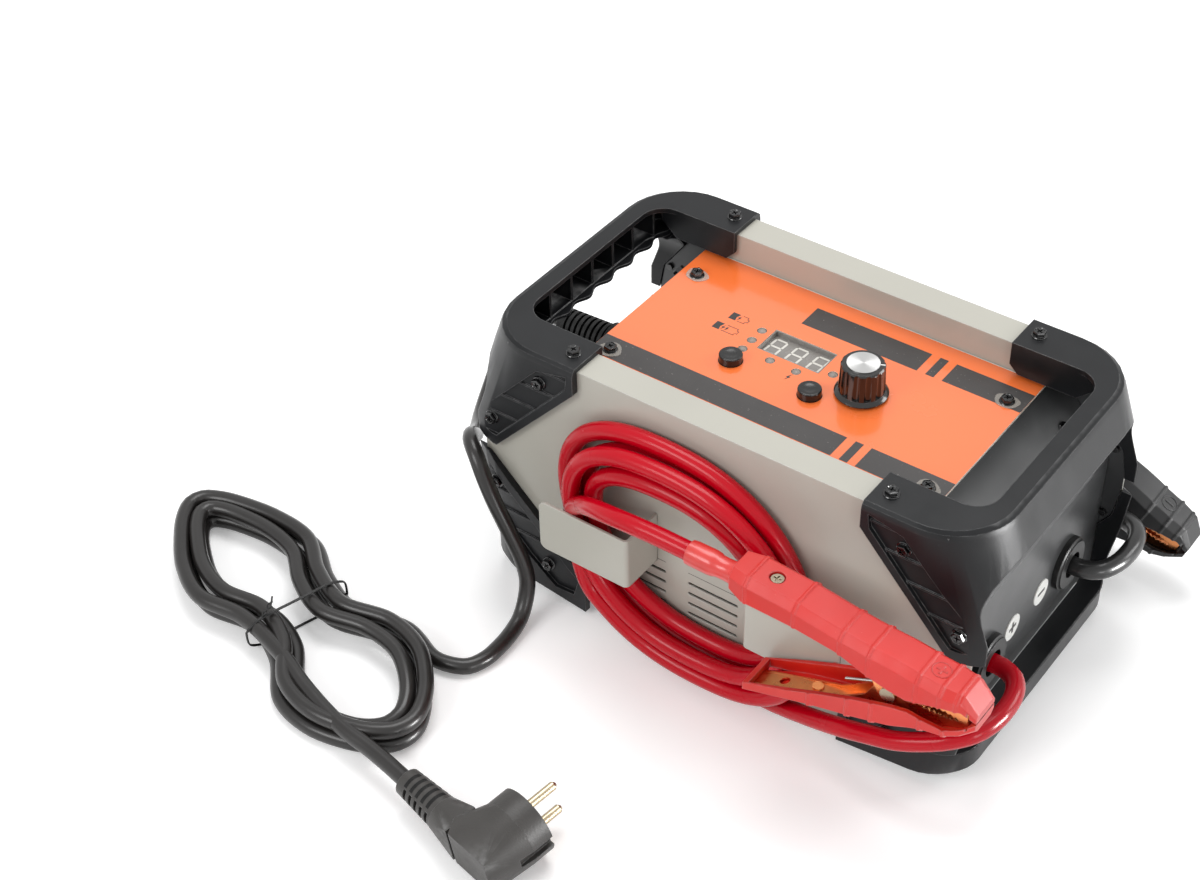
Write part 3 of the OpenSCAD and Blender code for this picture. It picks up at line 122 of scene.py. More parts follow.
def surface(name, colour, rough, metal=0.0, coat=0.0, mottle=0.1, mottle_scale=30, speck=None,
            grain=None, spread=0.05, edge=0.4, wear_and_highlight=0.25, streak=None, specular=0.5,
            coat_rough=0.12, rub_and_highlight_floor=0.3):
    """A surface with uneven colour and gloss, a fine grain, and rounded edges paled by rubbing and
    by a painted highlight.

    mottle is how far the colour strays, spread how far the roughness does, edge the rounding in mm,
    and wear how pale the edges are made, by rubbing and as a painted highlight, in patches that
    keep at least rub_and_highlight_floor of it.
    speck is (scale, threshold, colour), grain (scale, depth in mm), streak (stretch, strength).
    """
    look = Look(name)
    base = look.mix(shade(colour, 1 - mottle), shade(colour, 1 + mottle),
                    look.ranged(look.noise(mottle_scale, 4), 0.3, 0.7, 0, 1))
    if speck:
        dots = look.ranged(look.noise(speck[0], 2), speck[1], speck[1] + 0.03, 0, 1)
        base = look.mix(base, shade(speck[2]), dots)
    rounded = look.add("Bevel", samples=4, Radius=edge * MM).outputs[0]
    # Pale rounded edges: partly paint rubbed off, partly a painted highlight along edges and bends
    if wear_and_highlight:
        flat = look.add("NewGeometry").outputs["True Normal"]
        turn = look.add("VectorMath", operation="DOT_PRODUCT")
        look.tree.links.new(rounded, turn.inputs[0])
        look.tree.links.new(flat, turn.inputs[1])
        rub_and_highlight = look.ranged(turn.outputs["Value"], 0.99, 0.8, 0, wear_and_highlight)
        rub_and_highlight = look.math("MULTIPLY", rub_and_highlight, look.ranged(look.noise(220, 3), 0.35, 0.6, rub_and_highlight_floor, 1))
        pale = [c + (1 - c) * 0.35 for c in shade(colour)[:3]] + [1]
        base = look.mix(base, tuple(pale), rub_and_highlight)
    look.link(look.shader.inputs["Base Color"], base)
    gloss = look.ranged(look.noise(mottle_scale * 2.3, 5), 0.3, 0.7, rough - spread, rough + spread)
    look.link(look.shader.inputs["Roughness"], gloss)
    look.shader.inputs["Metallic"].default_value = metal
    look.shader.inputs["Coat Weight"].default_value = coat
    look.shader.inputs["Coat Roughness"].default_value = coat_rough
    look.shader.inputs["Specular IOR Level"].default_value = specular
    normal = rounded
    if streak:
        place = look.add("Mapping", Vector=look.place, Scale=streak[0]).outputs[0]
        normal = look.add("Bump", Strength=streak[1], Distance=0.05 * MM,
                          Height=look.noise(1, 3, place), Normal=normal).outputs[0]
    if grain:
        normal = look.add("Bump", Strength=1.0, Distance=grain[1] * MM,
                          Height=look.noise(grain[0], 3), Normal=normal).outputs[0]
    look.link(look.shader.inputs["Normal"], normal)
    return look


# The grey sheet's pale edges, kept nearly even along every bend, are mostly a painted highlight
grey_sheet = surface("grey_sheet", "b0aea4", 0.36, coat=0.25, coat_rough=0.2, mottle=0.03,
                     mottle_scale=9, grain=(1500, 0.012), edge=0.9, wear_and_highlight=0.9, rub_and_highlight_floor=0.8)
# Pale colour for the painted highlight along the rails' bends, and for the plate's bare back edge
highlight_and_bare_edge_look = surface("bend_highlight_and_bare_edge", "e2dfd2", 0.3, coat=0.3, mottle=0.08, mottle_scale=60,
                    grain=(900, 0.01), edge=0.1, wear_and_highlight=0)
dark_sheet = surface("dark_sheet", "2c2d2e", 0.36, coat=0.15, coat_rough=0.25, mottle=0.1,
                     mottle_scale=14, speck=(1400, 0.74, "74746f"), grain=(1900, 0.02), edge=0.4)
orange_paint = surface("orange_paint", "ee7233", 0.24, coat=0.9, coat_rough=0.1, mottle=0.02,
                       mottle_scale=7, grain=(1200, 0.004), edge=0.3, wear_and_highlight=0.3, specular=0.6)
band_print = surface("band_print", "353231", 0.42, mottle=0.08, mottle_scale=60,
                     speck=(900, 0.73, "8f8b85"), grain=(2600, 0.02), edge=0.05, wear_and_highlight=0)
frame_plastic = surface("frame_plastic", "131416", 0.36, mottle=0.12, mottle_scale=25,
                        speck=(1700, 0.78, "5e5e60"), grain=(2400, 0.03), edge=0.8, wear_and_highlight=0.45,
                        spread=0.06, specular=0.27)
black_rubber = surface("black_rubber", "141414", 0.42, mottle=0.1, grain=(1500, 0.02), edge=0.4,
                       wear_and_highlight=0.15, specular=0.35)
boot_look = surface("boot_rubber", "0a0a0a", 0.5, mottle=0.1, grain=(1500, 0.02), edge=0.5,
                    wear_and_highlight=0.15, specular=0.25)
red_lead_look = surface("red_cable", "b60018", 0.26, coat=0.15, coat_rough=0.08, mottle=0.04,
                        mottle_scale=14, grain=(420, 0.012), edge=0.1, wear_and_highlight=0, spread=0.04,
                        specular=0.2)
black_lead_look = surface("black_cable", "1a1a1a", 0.36, coat=0.35, mottle=0.1, mottle_scale=20,
                          grain=(420, 0.015), edge=0.1, wear_and_highlight=0, spread=0.05, specular=0.3)
mains_look = surface("mains_cable", "211f1e", 0.33, coat=0.15, coat_rough=0.16, mottle=0.12,
                     mottle_scale=25, grain=(500, 0.02), edge=0.1, wear_and_highlight=0, spread=0.06,
                     specular=0.4)
plug_look = surface("plug_rubber", "3b3937", 0.42, mottle=0.12, mottle_scale=45,
                    speck=(1500, 0.77, "6a6a6a"), grain=(1100, 0.11), edge=0.7, wear_and_highlight=0.35,
                    specular=0.4)
screw_look = surface("screw_black", "060607", 0.12, coat=0.35, mottle=0.15, mottle_scale=200,
                     edge=0.12, wear_and_highlight=0.3, grain=(700, 0.03), coat_rough=0.08)
bright_steel = surface("bright_steel", "c9c8c6", 0.22, metal=1.0, mottle=0.08, mottle_scale=90,
                       edge=0.2, wear_and_highlight=0, streak=((300, 300, 2500), 0.4))
rivet_look = surface("rivet_steel", "9a8f7c", 0.25, metal=1.0, mottle=0.1, mottle_scale=90,
                     edge=0.2, wear_and_highlight=0, grain=(900, 0.01))
pin_look = surface("pin_nickel", "b3a48a", 0.26, metal=1.0, mottle=0.1, mottle_scale=120, edge=0.3,
                   wear_and_highlight=0, streak=((2200, 150, 2200), 0.4))
copper = surface("copper", "e3945f", 0.3, metal=1.0, mottle=0.1, mottle_scale=60, edge=0.15,
                 wear_and_highlight=0.2, streak=((120, 2400, 2400), 0.4), spread=0.08)
knob_black = surface("knob_black", "090706", 0.16, coat=0.35, coat_rough=0.05, mottle=0.1,
                     edge=0.35, wear_and_highlight=0.15, grain=(500, 0.006))
button_black = surface("button_black", "0b0a0a", 0.26, mottle=0.1, grain=(1600, 0.012), edge=0.5,
                       wear_and_highlight=0.15)
red_grip = surface("red_grip", "c91b11", 0.42, coat=0.04, coat_rough=0.3, mottle=0.06,
                   mottle_scale=35, speck=(1300, 0.78, "e88f86"), grain=(1500, 0.03), edge=1.0,
                   wear_and_highlight=0.45)
black_grip = surface("black_grip", "171718", 0.42, mottle=0.1, mottle_scale=35,
                     speck=(1500, 0.78, "505052"), grain=(1500, 0.03), edge=1.0, wear_and_highlight=0.35,
                     specular=0.4)
shrink_red = surface("shrink_red", "cf3530", 0.32, coat=0.35, mottle=0.1, mottle_scale=60,
                     grain=(300, 0.07), edge=0.3, wear_and_highlight=0)
shrink_black = surface("shrink_black", "161617", 0.32, coat=0.3, mottle=0.1, mottle_scale=60,
                       grain=(300, 0.07), edge=0.3, wear_and_highlight=0)
ink = surface("ink", "2c2928", 0.42, mottle=0.1, mottle_scale=200, edge=0.02, wear_and_highlight=0)
white_label = surface("white_label", "e4e4e0", 0.4, mottle=0.04, mottle_scale=90, edge=0.1, wear_and_highlight=0)
digit_look = surface("digit_face", "cfccc4", 0.35, mottle=0.05, mottle_scale=150, edge=0.05, wear_and_highlight=0)
display_look = surface("display_face", "7d7974", 0.25, coat=0.6, coat_rough=0.06, mottle=0.06,
                       mottle_scale=80, edge=0.2, wear_and_highlight=0)
lamp_look = surface("lamp_lens", "857d76", 0.45, coat=0.1, coat_rough=0.1, mottle=0.15,
                    mottle_scale=400, edge=0.3, wear_and_highlight=0)
board_look = surface("board", "2c6a3d", 0.4, mottle=0.12, mottle_scale=90, edge=0.1, wear_and_highlight=0)
device_look = surface("device_black", "1b1b1d", 0.5, mottle=0.1, grain=(1500, 0.02), edge=0.3,
                      wear_and_highlight=0.1)
blue_look = surface("device_blue", "26406e", 0.35, mottle=0.1, edge=0.3, wear_and_highlight=0.1)
sink_look = surface("sink_metal", "a9abae", 0.35, metal=1.0, mottle=0.08, edge=0.2, wear_and_highlight=0,
                    streak=((2500, 200, 200), 0.5))
wire_look = surface("wire_varnish", "b8692f", 0.3, metal=0.8, mottle=0.1, edge=0.2, wear_and_highlight=0,
                    grain=(900, 0.08))
washer_look = surface("washer_clear", "c9c2b8", 0.2, coat=0.5, mottle=0.05, edge=0.2, wear_and_highlight=0)
washer_look.shader.inputs["Alpha"].default_value = 0.4


KNOB_AXIS = (31, 3.8)
KNOB_TOP = 168.9
RINGS_PER_METRE = 6000


def spun(name):
    """Turned metal, its grain in rings round the knob's axis."""
    look = Look(name)
    shift = look.add("VectorMath", operation="SUBTRACT")
    look.tree.links.new(look.place, shift.inputs[0])
    shift.inputs[1].default_value = [v * MM for v in (*KNOB_AXIS, KNOB_TOP)]
    away = look.add("VectorMath", operation="LENGTH")
    look.tree.links.new(shift.outputs[0], away.inputs[0])
    outward = look.math("MULTIPLY", away.outputs["Value"], RINGS_PER_METRE)
    rings = look.noise(1.0, 2, look.add("CombineXYZ", X=outward).outputs[0])
    look.link(look.shader.inputs["Base Color"], look.mix(shade("b4b4b3"), shade("dededd"), rings))
    look.shader.inputs["Metallic"].default_value = 1.0
    look.shader.inputs["Roughness"].default_value = 0.28
    look.shader.inputs["Anisotropic"].default_value = 0.85
    look.link(look.shader.inputs["Tangent"],
              look.add("Tangent", direction_type="RADIAL", axis="Z").outputs[0])
    look.link(look.shader.inputs["Normal"],
              look.add("Bump", Strength=0.25, Distance=0.02 * MM, Height=rings).outputs[0])
    return look


spun_metal = spun("spun_metal")


def face_turned(look, axis):
    """The part of a face's normal along an axis."""
    normal = look.add("NewGeometry").outputs["True Normal"]
    return look.add("SeparateXYZ", Vector=normal).outputs[axis]


def recolour(look, colour, where):
    """Another colour where a value is 1."""
    socket = look.shader.inputs["Base Color"]
    base = socket.links[0].from_socket
    look.link(socket, look.mix(base, shade(colour), where))


# The plate's cut edges are bare
steepness = orange_paint.math("ABSOLUTE", face_turned(orange_paint, "Z"))
recolour(orange_paint, "ded3c4", orange_paint.math("LESS_THAN", steepness, 0.5))

# The covers' faces that are turned to the middle are dark past the control plate's ends
DARK_FROM = 0.1045
INWARD_BELOW = -0.03
spot = grey_sheet.add("SeparateXYZ", Vector=grey_sheet.place)
outward = grey_sheet.math("MULTIPLY", face_turned(grey_sheet, "Y"), spot.outputs["Y"])
inward = grey_sheet.math("LESS_THAN", outward, INWARD_BELOW)
from_middle = grey_sheet.math("ABSOLUTE", spot.outputs["X"])
past_plate = grey_sheet.math("GREATER_THAN", from_middle, DARK_FROM)
recolour(grey_sheet, "2c2d2e", grey_sheet.math("MULTIPLY", inward, past_plate))

LOOK_OF = {
    "front_cover": grey_sheet, "rear_cover": grey_sheet, "side_hooks": grey_sheet,
    "base_tray": dark_sheet, "right_end_plate": dark_sheet, "left_end_plate": dark_sheet,
    "control_plate": orange_paint, "rubber_feet": black_rubber, "case_screws": screw_look,
    "right_upper_frame": frame_plastic, "left_upper_frame": frame_plastic,
    "right_lower_frame": frame_plastic, "left_lower_frame": frame_plastic,
    "display_module": display_look, "indicator_lamps": lamp_look, "left_button": button_black,
    "right_button": button_black, "tact_switches": device_look, "control_board": board_look,
    "board_posts": bright_steel, "knob_body": knob_black, "knob_cap": spun_metal,
    "knob_shaft": bright_steel, "potentiometer": bright_steel, "main_board": board_look,
    "transformer_core": device_look, "transformer_winding": wire_look, "heat_sink": sink_look,
    "rectifiers": device_look, "capacitors": blue_look, "relays": blue_look,
    "output_terminals": copper, "fan_frame": device_look, "fan_rotor": device_look,
    "fan_bracket": bright_steel, "red_grommet": black_rubber, "black_grommet": black_rubber,
    "polarity_discs": white_label, "mains_boot": boot_look, "mains_plug": plug_look,
    "plug_pins": pin_look, "red_clamp_upper": red_grip, "red_clamp_lower": red_grip,
    "black_clamp_upper": black_grip, "black_clamp_lower": black_grip, "red_jaw_upper": copper,
    "red_jaw_lower": copper, "black_jaw_upper": copper, "black_jaw_lower": copper,
    "clamp_fasteners": rivet_look, "lead_sleeves": shrink_red,
}

for name, look in LOOK_OF.items():
    piece = nodes[name]
    piece.data.materials.clear()
    piece.data.materials.append(look.material)


def smooth_group(angle):
    """Shades faces smooth, apart from edges sharper than the angle."""
    group = bpy.data.node_groups.new("smooth_faces", "GeometryNodeTree")
    group.interface.new_socket("Geometry", in_out="INPUT", socket_type="NodeSocketGeometry")
    group.interface.new_socket("Geometry", in_out="OUTPUT", socket_type="NodeSocketGeometry")
    add = group.nodes.new
    start, faces, edges, end = (add(kind) for kind in (
        "NodeGroupInput", "GeometryNodeSetShadeSmooth", "GeometryNodeSetShadeSmooth",
        "NodeGroupOutput"))
    edges.domain = "EDGE"
    edges.inputs["Shade Smooth"].default_value = False
    sharp = add("FunctionNodeCompare")
    sharp.inputs["B"].default_value = math.radians(angle)
    link = group.links.new
    link(add("GeometryNodeInputMeshEdgeAngle").outputs["Unsigned Angle"], sharp.inputs["A"])
    link(sharp.outputs["Result"], edges.inputs["Selection"])
    for a, b in ((start, faces), (faces, edges), (edges, end)):
        link(a.outputs[0], b.inputs[0])
    return group


SMOOTH = smooth_group(32)
WELD_MM = 0.01
FLAT_WITHIN = math.radians(0.5)
BEVEL_ABOVE = math.radians(30)
BEVEL_STEPS = 3
# Widths in mm of the rounding of a node's edges
ROUNDED = {"right_upper_frame": 0.8, "left_upper_frame": 0.8, "front_cover": 0.7,
           "rear_cover": 0.7, "red_clamp_upper": 1.6, "red_clamp_lower": 0.8,
           "black_clamp_upper": 1.6, "black_clamp_lower": 0.8}

for name in LOOK_OF:
    piece = nodes[name]
    piece.modifiers.new("join_corners", "WELD").merge_threshold = WELD_MM * MM
    if name in ROUNDED:
        # The triangles of a flat face are joined first, so that the bevel meets whole faces
        whole = piece.modifiers.new("whole_faces", "DECIMATE")
        whole.decimate_type = "DISSOLVE"
        whole.angle_limit = FLAT_WITHIN
        round_off = piece.modifiers.new("round_edges", "BEVEL")
        round_off.limit_method = "ANGLE"
        round_off.angle_limit = BEVEL_ABOVE
        round_off.width = ROUNDED[name] * MM
        round_off.segments = BEVEL_STEPS
    piece.modifiers.new("smooth_faces", "NODES").node_group = SMOOTH
    if name in ROUNDED:
        piece.modifiers.new("level_faces", "WEIGHTED_NORMAL").keep_sharp = True


# ---------- making pieces ----------

def place(piece, body, look, slot=None):
    """Puts a new object in the scene, with its look, on its body."""
    bpy.context.scene.collection.objects.link(piece)
    piece.data.materials.append(look.material)
    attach(piece, body)
    return piece


def solid(name, points, faces, body, look, slot=None, matrix=None, smooth=None):
    """A mesh piece from points in millimetres."""
    mesh = bpy.data.meshes.new(name)
    mesh.from_pydata([Vector(p) * MM for p in points], [], faces)
    if matrix is not None:
        mesh.transform(matrix)
    made = bmesh.new()
    made.from_mesh(mesh)
    bmesh.ops.recalc_face_normals(made, faces=made.faces)
    made.to_mesh(mesh)
    made.free()
    if smooth is not None:
        mesh.polygons.foreach_set("use_smooth", [True] * len(mesh.polygons))
        mesh.set_sharp_from_angle(angle=math.radians(smooth))
    return place(bpy.data.objects.new(name, mesh), body, look, slot)


def prisms(name, outlines, low, high, body, look, slot=None, matrix=None):
    """Flat outlines in millimetres, each raised from low to high."""
    points, faces = [], []
    for outline in outlines:
        n, start = len(outline), len(points)
        points += [(x, y, low) for x, y in outline] + [(x, y, high) for x, y in outline]
        faces += [[start + k for k in range(n)], [start + n + k for k in range(n)]]
        faces += [[start + k, start + (k + 1) % n, start + n + (k + 1) % n, start + n + k]
                  for k in range(n)]
    return solid(name, points, faces, body, look, slot, matrix)


def smooth_path(points, step=3.0):
    """Points about a step apart on one smooth curve through the given ones (Catmull-Rom)."""
    p = [np.array(q, float) for q in points]
    p = [2 * p[0] - p[1]] + p + [2 * p[-1] - p[-2]]
    made = []
    for a, b, c, d in zip(p, p[1:], p[2:], p[3:]):
        t = np.cumsum([0] + [max(np.linalg.norm(v), 1e-6) ** 0.5 for v in (b - a, c - b, d - c)])
        count = max(2, int(np.linalg.norm(c - b) / step))
        for k in range(count):
            x = t[1] + (t[2] - t[1]) * k / count
            lerp = lambda u, v, i, j: u + (v - u) * (x - t[i]) / (t[j] - t[i])
            e, f, g = lerp(a, b, 0, 1), lerp(b, c, 1, 2), lerp(c, d, 2, 3)
            made.append(lerp(lerp(e, f, 0, 2), lerp(f, g, 1, 3), 1, 2))
    return made + [p[-2]]


def tube(name, path, radius, body, look, slot=None, sides=5):
    """A round wire or cord along a path in millimetres."""
    curve = bpy.data.curves.new(name, "CURVE")
    curve.dimensions = "3D"
    curve.bevel_depth = radius * MM
    curve.bevel_resolution = sides
    curve.use_fill_caps = True
    spline = curve.splines.new("POLY")
    spline.points.add(len(path) - 1)
    for point, q in zip(spline.points, path):
        point.co = (*(Vector(q) * MM), 1)
    spline.use_smooth = True
    return place(bpy.data.objects.new(name, curve), body, look, slot)


# ---------- leads, in millimetres along the CAD leads' routes ----------

LEAD_D = 10
MAINS_D = 9
LOOP_RINGS = 24
RED_PIVOT = np.array([128.5, -122, 105])
BLACK_PIVOT = np.array([131.3, 122, 40.6])
BLACK_TILT = math.radians(21.5)
# The sleeve on a clamp's lead: its outer end and its height from the pivot, and its length
SLEEVE_END = -116
SLEEVE_V = 21.5
SLEEVE_L = 35
END_X = 137
BOOT_TIP = (-174, 22, 95)
SQUARENESS = 2.4


def super_point(turn):
    """A point of a rounded square of half width 1, at a part of a turn."""
    c, s = math.cos(2 * math.pi * turn), math.sin(2 * math.pi * turn)
    p = 2 / SQUARENESS
    return math.copysign(abs(s) ** p, s), math.copysign(abs(c) ** p, c)


def coil_point(t, inner, middle, pitch=11, lean=0.22, turns_in=2.25, layer=(88.5, 99.5)):
    """Winding on the hooks: it spirals in by the cover and out again by the hook plates."""
    u = abs(t - turns_in)
    ex, ey = super_point(t)
    z = -(inner[1] + pitch * u) * ey
    x = -(inner[0] + pitch * u) * ex
    climb = min(1, max(0, (t - turns_in) * 2 + 0.5))
    y = layer[0] + (layer[1] - layer[0]) * (0.5 - 0.5 * math.cos(math.pi * climb))
    return middle[0] + x - lean * z, -y, middle[1] + z


def coil(turns, inner, middle):
    """All points of a coil of so many turns."""
    return [coil_point(k / LOOP_RINGS, inner, middle)
            for k in range(1, int(LOOP_RINGS * turns) + 1)]


def flip(points):
    """The same on the other long side."""
    return [(p[0], -p[1], p[2]) for p in points]


# From the grommet round the corner and down to the coil
RED_ROUTE = [(END_X + 2, -43, 59.5), (END_X + 10, -43, 59.5), (155, -47, 60), (160, -56, 60.5),
             (161.5, -67, 60.5), (160.5, -78, 60), (156, -88, 58), (147, -95.5, 54.5),
             (136, -100, 50), (122, -103, 44.5), (106, -103, 39), (90, -101.5, 32.5),
             (74, -98, 25), (57, -93.5, 17), (43, -90, 11.3), (36, -88.5, 9.3),
             (26, -88.5, 9.3), (16, -88.5, 9.3)]
RED_END = RED_PIVOT + (SLEEVE_END, 0, SLEEVE_V)
# From the coil to the clamp's sleeve
RED_TAIL = [(-75, -101, 92), (-66, -106, 104), (-54, -113, 114), (-40, -118.5, 121),
            (-24, -121.6, 125.4), (-8, RED_END[1], RED_END[2]), tuple(RED_END)]
BLACK_DIR = np.array([math.cos(BLACK_TILT), 0, -math.sin(BLACK_TILT)])
BLACK_UP = np.array([math.sin(BLACK_TILT), 0, math.cos(BLACK_TILT)])
BLACK_END = BLACK_PIVOT + SLEEVE_END * BLACK_DIR + SLEEVE_V * BLACK_UP
BLACK_TAIL = [(-14, 100.8, 144), (-5, 104, 141.2), (2, 108.5, 135.8), (6, 113.2, 128.3),
              (9.5, 118, 120), (15, 121.6, 111.2), tuple(BLACK_END - 10 * BLACK_DIR),
              tuple(BLACK_END)]

HANK_MIDDLE = (-203, -184)
HANK_TURN = math.radians(163)
HANK_TURNS = 3.5
HANK_LEAD = 0.1


def in_hank(x, y):
    """A point along and across the hank, as a point on the ground."""
    c, s = math.cos(HANK_TURN), math.sin(HANK_TURN)
    return HANK_MIDDLE[0] + c * x - s * y, HANK_MIDDLE[1] + s * x + c * y


def hank_point(t, half=97, wide=25, taper=7, waist=4.8, pitch=10.6, tie=1.1):
    """Tied hank: long loops drawn in at the waist, in on the ground and out on top."""
    u, a = abs(t - HANK_TURNS / 2), math.radians(360 * t - 90)
    x = (half + pitch * u) * math.cos(a)
    s = x / half
    pinch = math.exp(-7 * s * s)
    loose = (wide - taper * s + pitch * u) * (1.2 - 0.2 * s * s)
    tied = waist + pitch * 1.05 * u
    climb = min(1, max(0, (t - HANK_TURNS / 2) * 4 + 0.5))
    lift = tie * pinch + (MAINS_D + 0.6) * climb
    return (*in_hank(x, (loose * (1 - pinch) + tied * pinch) * math.sin(a)),
            MAINS_D / 2 + 0.1 + lift)


HANK = [hank_point(k / LOOP_RINGS - HANK_LEAD)
        for k in range(int(LOOP_RINGS * (HANK_TURNS + HANK_LEAD)) + 1)]
# Out of the boot, down in a loop, up over the frame's side and down to the hank
MAINS_ROUTE = [BOOT_TIP, (-183, 22, 95), (-196, 20.5, 90), (-206, 16, 77), (-209, 6, 63),
               (-205, -10, 53), (-197, -28, 50), (-186, -45, 55), (-175, -59, 66),
               (-165.5, -70.5, 78), (-159, -81, 88.5), (-152, -89, 92), (-144, -94.5, 89),
               (-136.5, -98, 80), (-129.5, -100, 70), (-119.5, -100.5, 52.5), (-111.5, -100.5, 36),
               (-107.5, -102, 24), (-105.4, -107.5, 13), (-104, -114, 7), (-102.5, -124, 4.8),
               (-101.5, -135, 4.6), (-102, -147, 4.6), (-106, -156.5, 4.6), (-114, -161, 4.6)]
# From the hank to the plug
HANK_TAIL = [(-186, -214.5, 15), (-163, -223.5, 14.6), (-141, -230.5, 14.4), (-122, -235, 14.4),
             (-106, -237, 14.6), (-92, -239.4, 14.8), (-83.8, -241.1, 15), (-74, -243.2, 15.2)]

# Turns, half width and half height of the inmost turn, and its middle in X and Z
RED_COIL = (4.2, (53, 48), (-10, 82))
BLACK_COIL = (4.5, (55, 43), (-10, 76.5))

mains_path = smooth_path(MAINS_ROUTE + HANK + HANK_TAIL)
red_path = smooth_path(RED_ROUTE + coil(*RED_COIL) + RED_TAIL)
black_path = smooth_path(flip(RED_ROUTE + coil(*BLACK_COIL)) + BLACK_TAIL)

mains_lead = tube("mains_lead", mains_path, MAINS_D / 2, "case", mains_look, "grey_rubber")
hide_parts("mains_cord", "mains_hank")
red_cable = tube("red_cable", red_path, LEAD_D / 2, "case", red_lead_look, "red_rubber")
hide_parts("red_lead", "red_coil")
black_cable = tube("black_cable", black_path, LEAD_D / 2, "case", black_lead_look, "black_rubber")
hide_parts("black_lead", "black_coil")


# ---------- wire tie, springs, sleeves ----------

def hank_wire(wide=31.2, tall=10.2, middle=10.9, wire=0.5):
    """Thin wire twice round the hank's waist, its ends twisted together on top."""
    ring = []
    for k in range(96):
        a = 2 * math.pi * (k / 48) + 0.3
        c, s = math.cos(a), math.sin(a)
        across = math.copysign(abs(c) ** 0.45, c) * wide
        up = math.copysign(abs(s) ** 0.6, s) * tall
        ring.append((1.5 * (k / 96 - 0.5) + 0.25 * math.sin(7 * a), across, middle + up))
    twists = [[(0.8 * math.sin(k * 1.3 + phase) + drift * k, 20.4 - 0.75 * k, 21.6 + 0.75 * k)
               for k in range(count)] for phase, drift, count in ((0, 0.1, 12), (3.1, -0.1, 10))]
    made = []
    for name, points in zip(("tie_wire", "tie_twist", "tie_twist_end"), (ring, *twists)):
        path = smooth_path([(*in_hank(x, y), z) for x, y, z in points], 1.0)
        made.append(tube(name, path, wire, "case", black_rubber, "black_rubber", 2))
    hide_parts("hank_tie")
    return made


tie = hank_wire()
AT_RED = Matrix.Translation(Vector(RED_PIVOT) * MM)
AT_BLACK = (Matrix.Translation(Vector(BLACK_PIVOT) * MM) @ Matrix.Rotation(BLACK_TILT, 4, "Y")
            @ Matrix.Diagonal((1, -1, 1, 1)))


def at(matrix, points):
    """Points in millimetres moved by a matrix in metres."""
    return [tuple(matrix @ (Vector(p) * MM) / MM) for p in points]


SPRING_WIRE = 0.8


def spring_points(radius=3.7, turns=3):
    """A clamp's spring round its pin, from the pivot: one leg, the turns, and a short end."""
    pitch = 2 * SPRING_WIRE + 0.5
    half = pitch * turns / 2
    coils = [(radius * math.sin(math.radians(12 * k)), half - pitch * k / 30,
              -radius * math.cos(math.radians(12 * k))) for k in range(30 * turns + 1)]
    leg = [(-28, half, -15.5), (-10, half, -6.8), (-4, half, -4.2)]
    return leg + coils + [(-5, -half, -4.2)]


for colour, matrix in (("red", AT_RED), ("black", AT_BLACK)):
    spring = tube(colour + "_spring_wire", smooth_path(at(matrix, spring_points()), 1.2),
                  SPRING_WIRE, colour + "_clamp_half", bright_steel, "bright_steel", 3)
    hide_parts(colour + "_spring")


def lathe(name, profile, body, look, slot, matrix, count=40, smooth=40, wobble=0.0):
    """A turned piece: profile is (along X, radius) in millimetres, wobble its unevenness."""
    points, faces = [], []
    for x, r in profile:
        for k in range(count):
            a = 2 * math.pi * k / count
            q = r * (1 + wobble * math.sin(3 * a + 0.9 * x) * math.sin(0.7 * x))
            points.append((x, q * math.cos(a), q * math.sin(a)))
    for i in range(len(profile) - 1):
        for k in range(count):
            faces.append([i * count + k, i * count + (k + 1) % count,
                          (i + 1) * count + (k + 1) % count, (i + 1) * count + k])
    faces += [list(range(count)), [(len(profile) - 1) * count + k for k in range(count)]]
    return solid(name, points, faces, body, look, slot, matrix, smooth)


SLEEVE = [(SLEEVE_END + x, radius) for x, radius in (
    (0, 5.6), (0.4, 6.3), (3, 6.5), (13, 6.55), (15.5, 6.2), (17, 5.6), (22, 5.5), (25, 5.7),
    (27, 6.3), (29, 6.5), (SLEEVE_L - 0.4, 6.5), (SLEEVE_L, 6.0))]
for colour, matrix, look in (("red", AT_RED, shrink_red), ("black", AT_BLACK, shrink_black)):
    lathe(colour + "_sleeve", SLEEVE, "case", look, colour + "_rubber",
                         matrix @ Matrix.Translation((0, 0, SLEEVE_V * MM)), wobble=0.012)
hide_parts("lead_sleeves")

# ---------- screws ----------

PLATE_Z = 149.4
PLATE_HALF = 103.9
PLATE_SCREW = (94.3, 40)
FRAME_TOP = 169.5
SIDE_FLOOR = 84.1
FOOT_FLOOR = 4.5
# The end plates lean from under the control plate's end down to the upright part
LEAN_TOP = (104.3, PLATE_Z - 1.5)
LEAN_FOOT = (END_X, 105)
LEAN_PART = 0.44
LEAN_RUN = LEAN_FOOT[0] - LEAN_TOP[0]
LEAN_FALL = LEAN_TOP[1] - LEAN_FOOT[1]
LEAN_TILT = math.atan2(LEAN_FALL, LEAN_RUN)
LEAN_X = LEAN_TOP[0] + LEAN_PART * LEAN_RUN
LEAN_Z = LEAN_TOP[1] - LEAN_PART * LEAN_FALL


def cross(arm, half):
    """A plus sign's outline: how far its arms reach, and half their width."""
    return [(-arm, -half), (-half, -half), (-half, -arm), (half, -arm), (half, -half), (arm, -half),
            (arm, half), (half, half), (half, arm), (-half, arm), (-half, half), (-arm, half)]


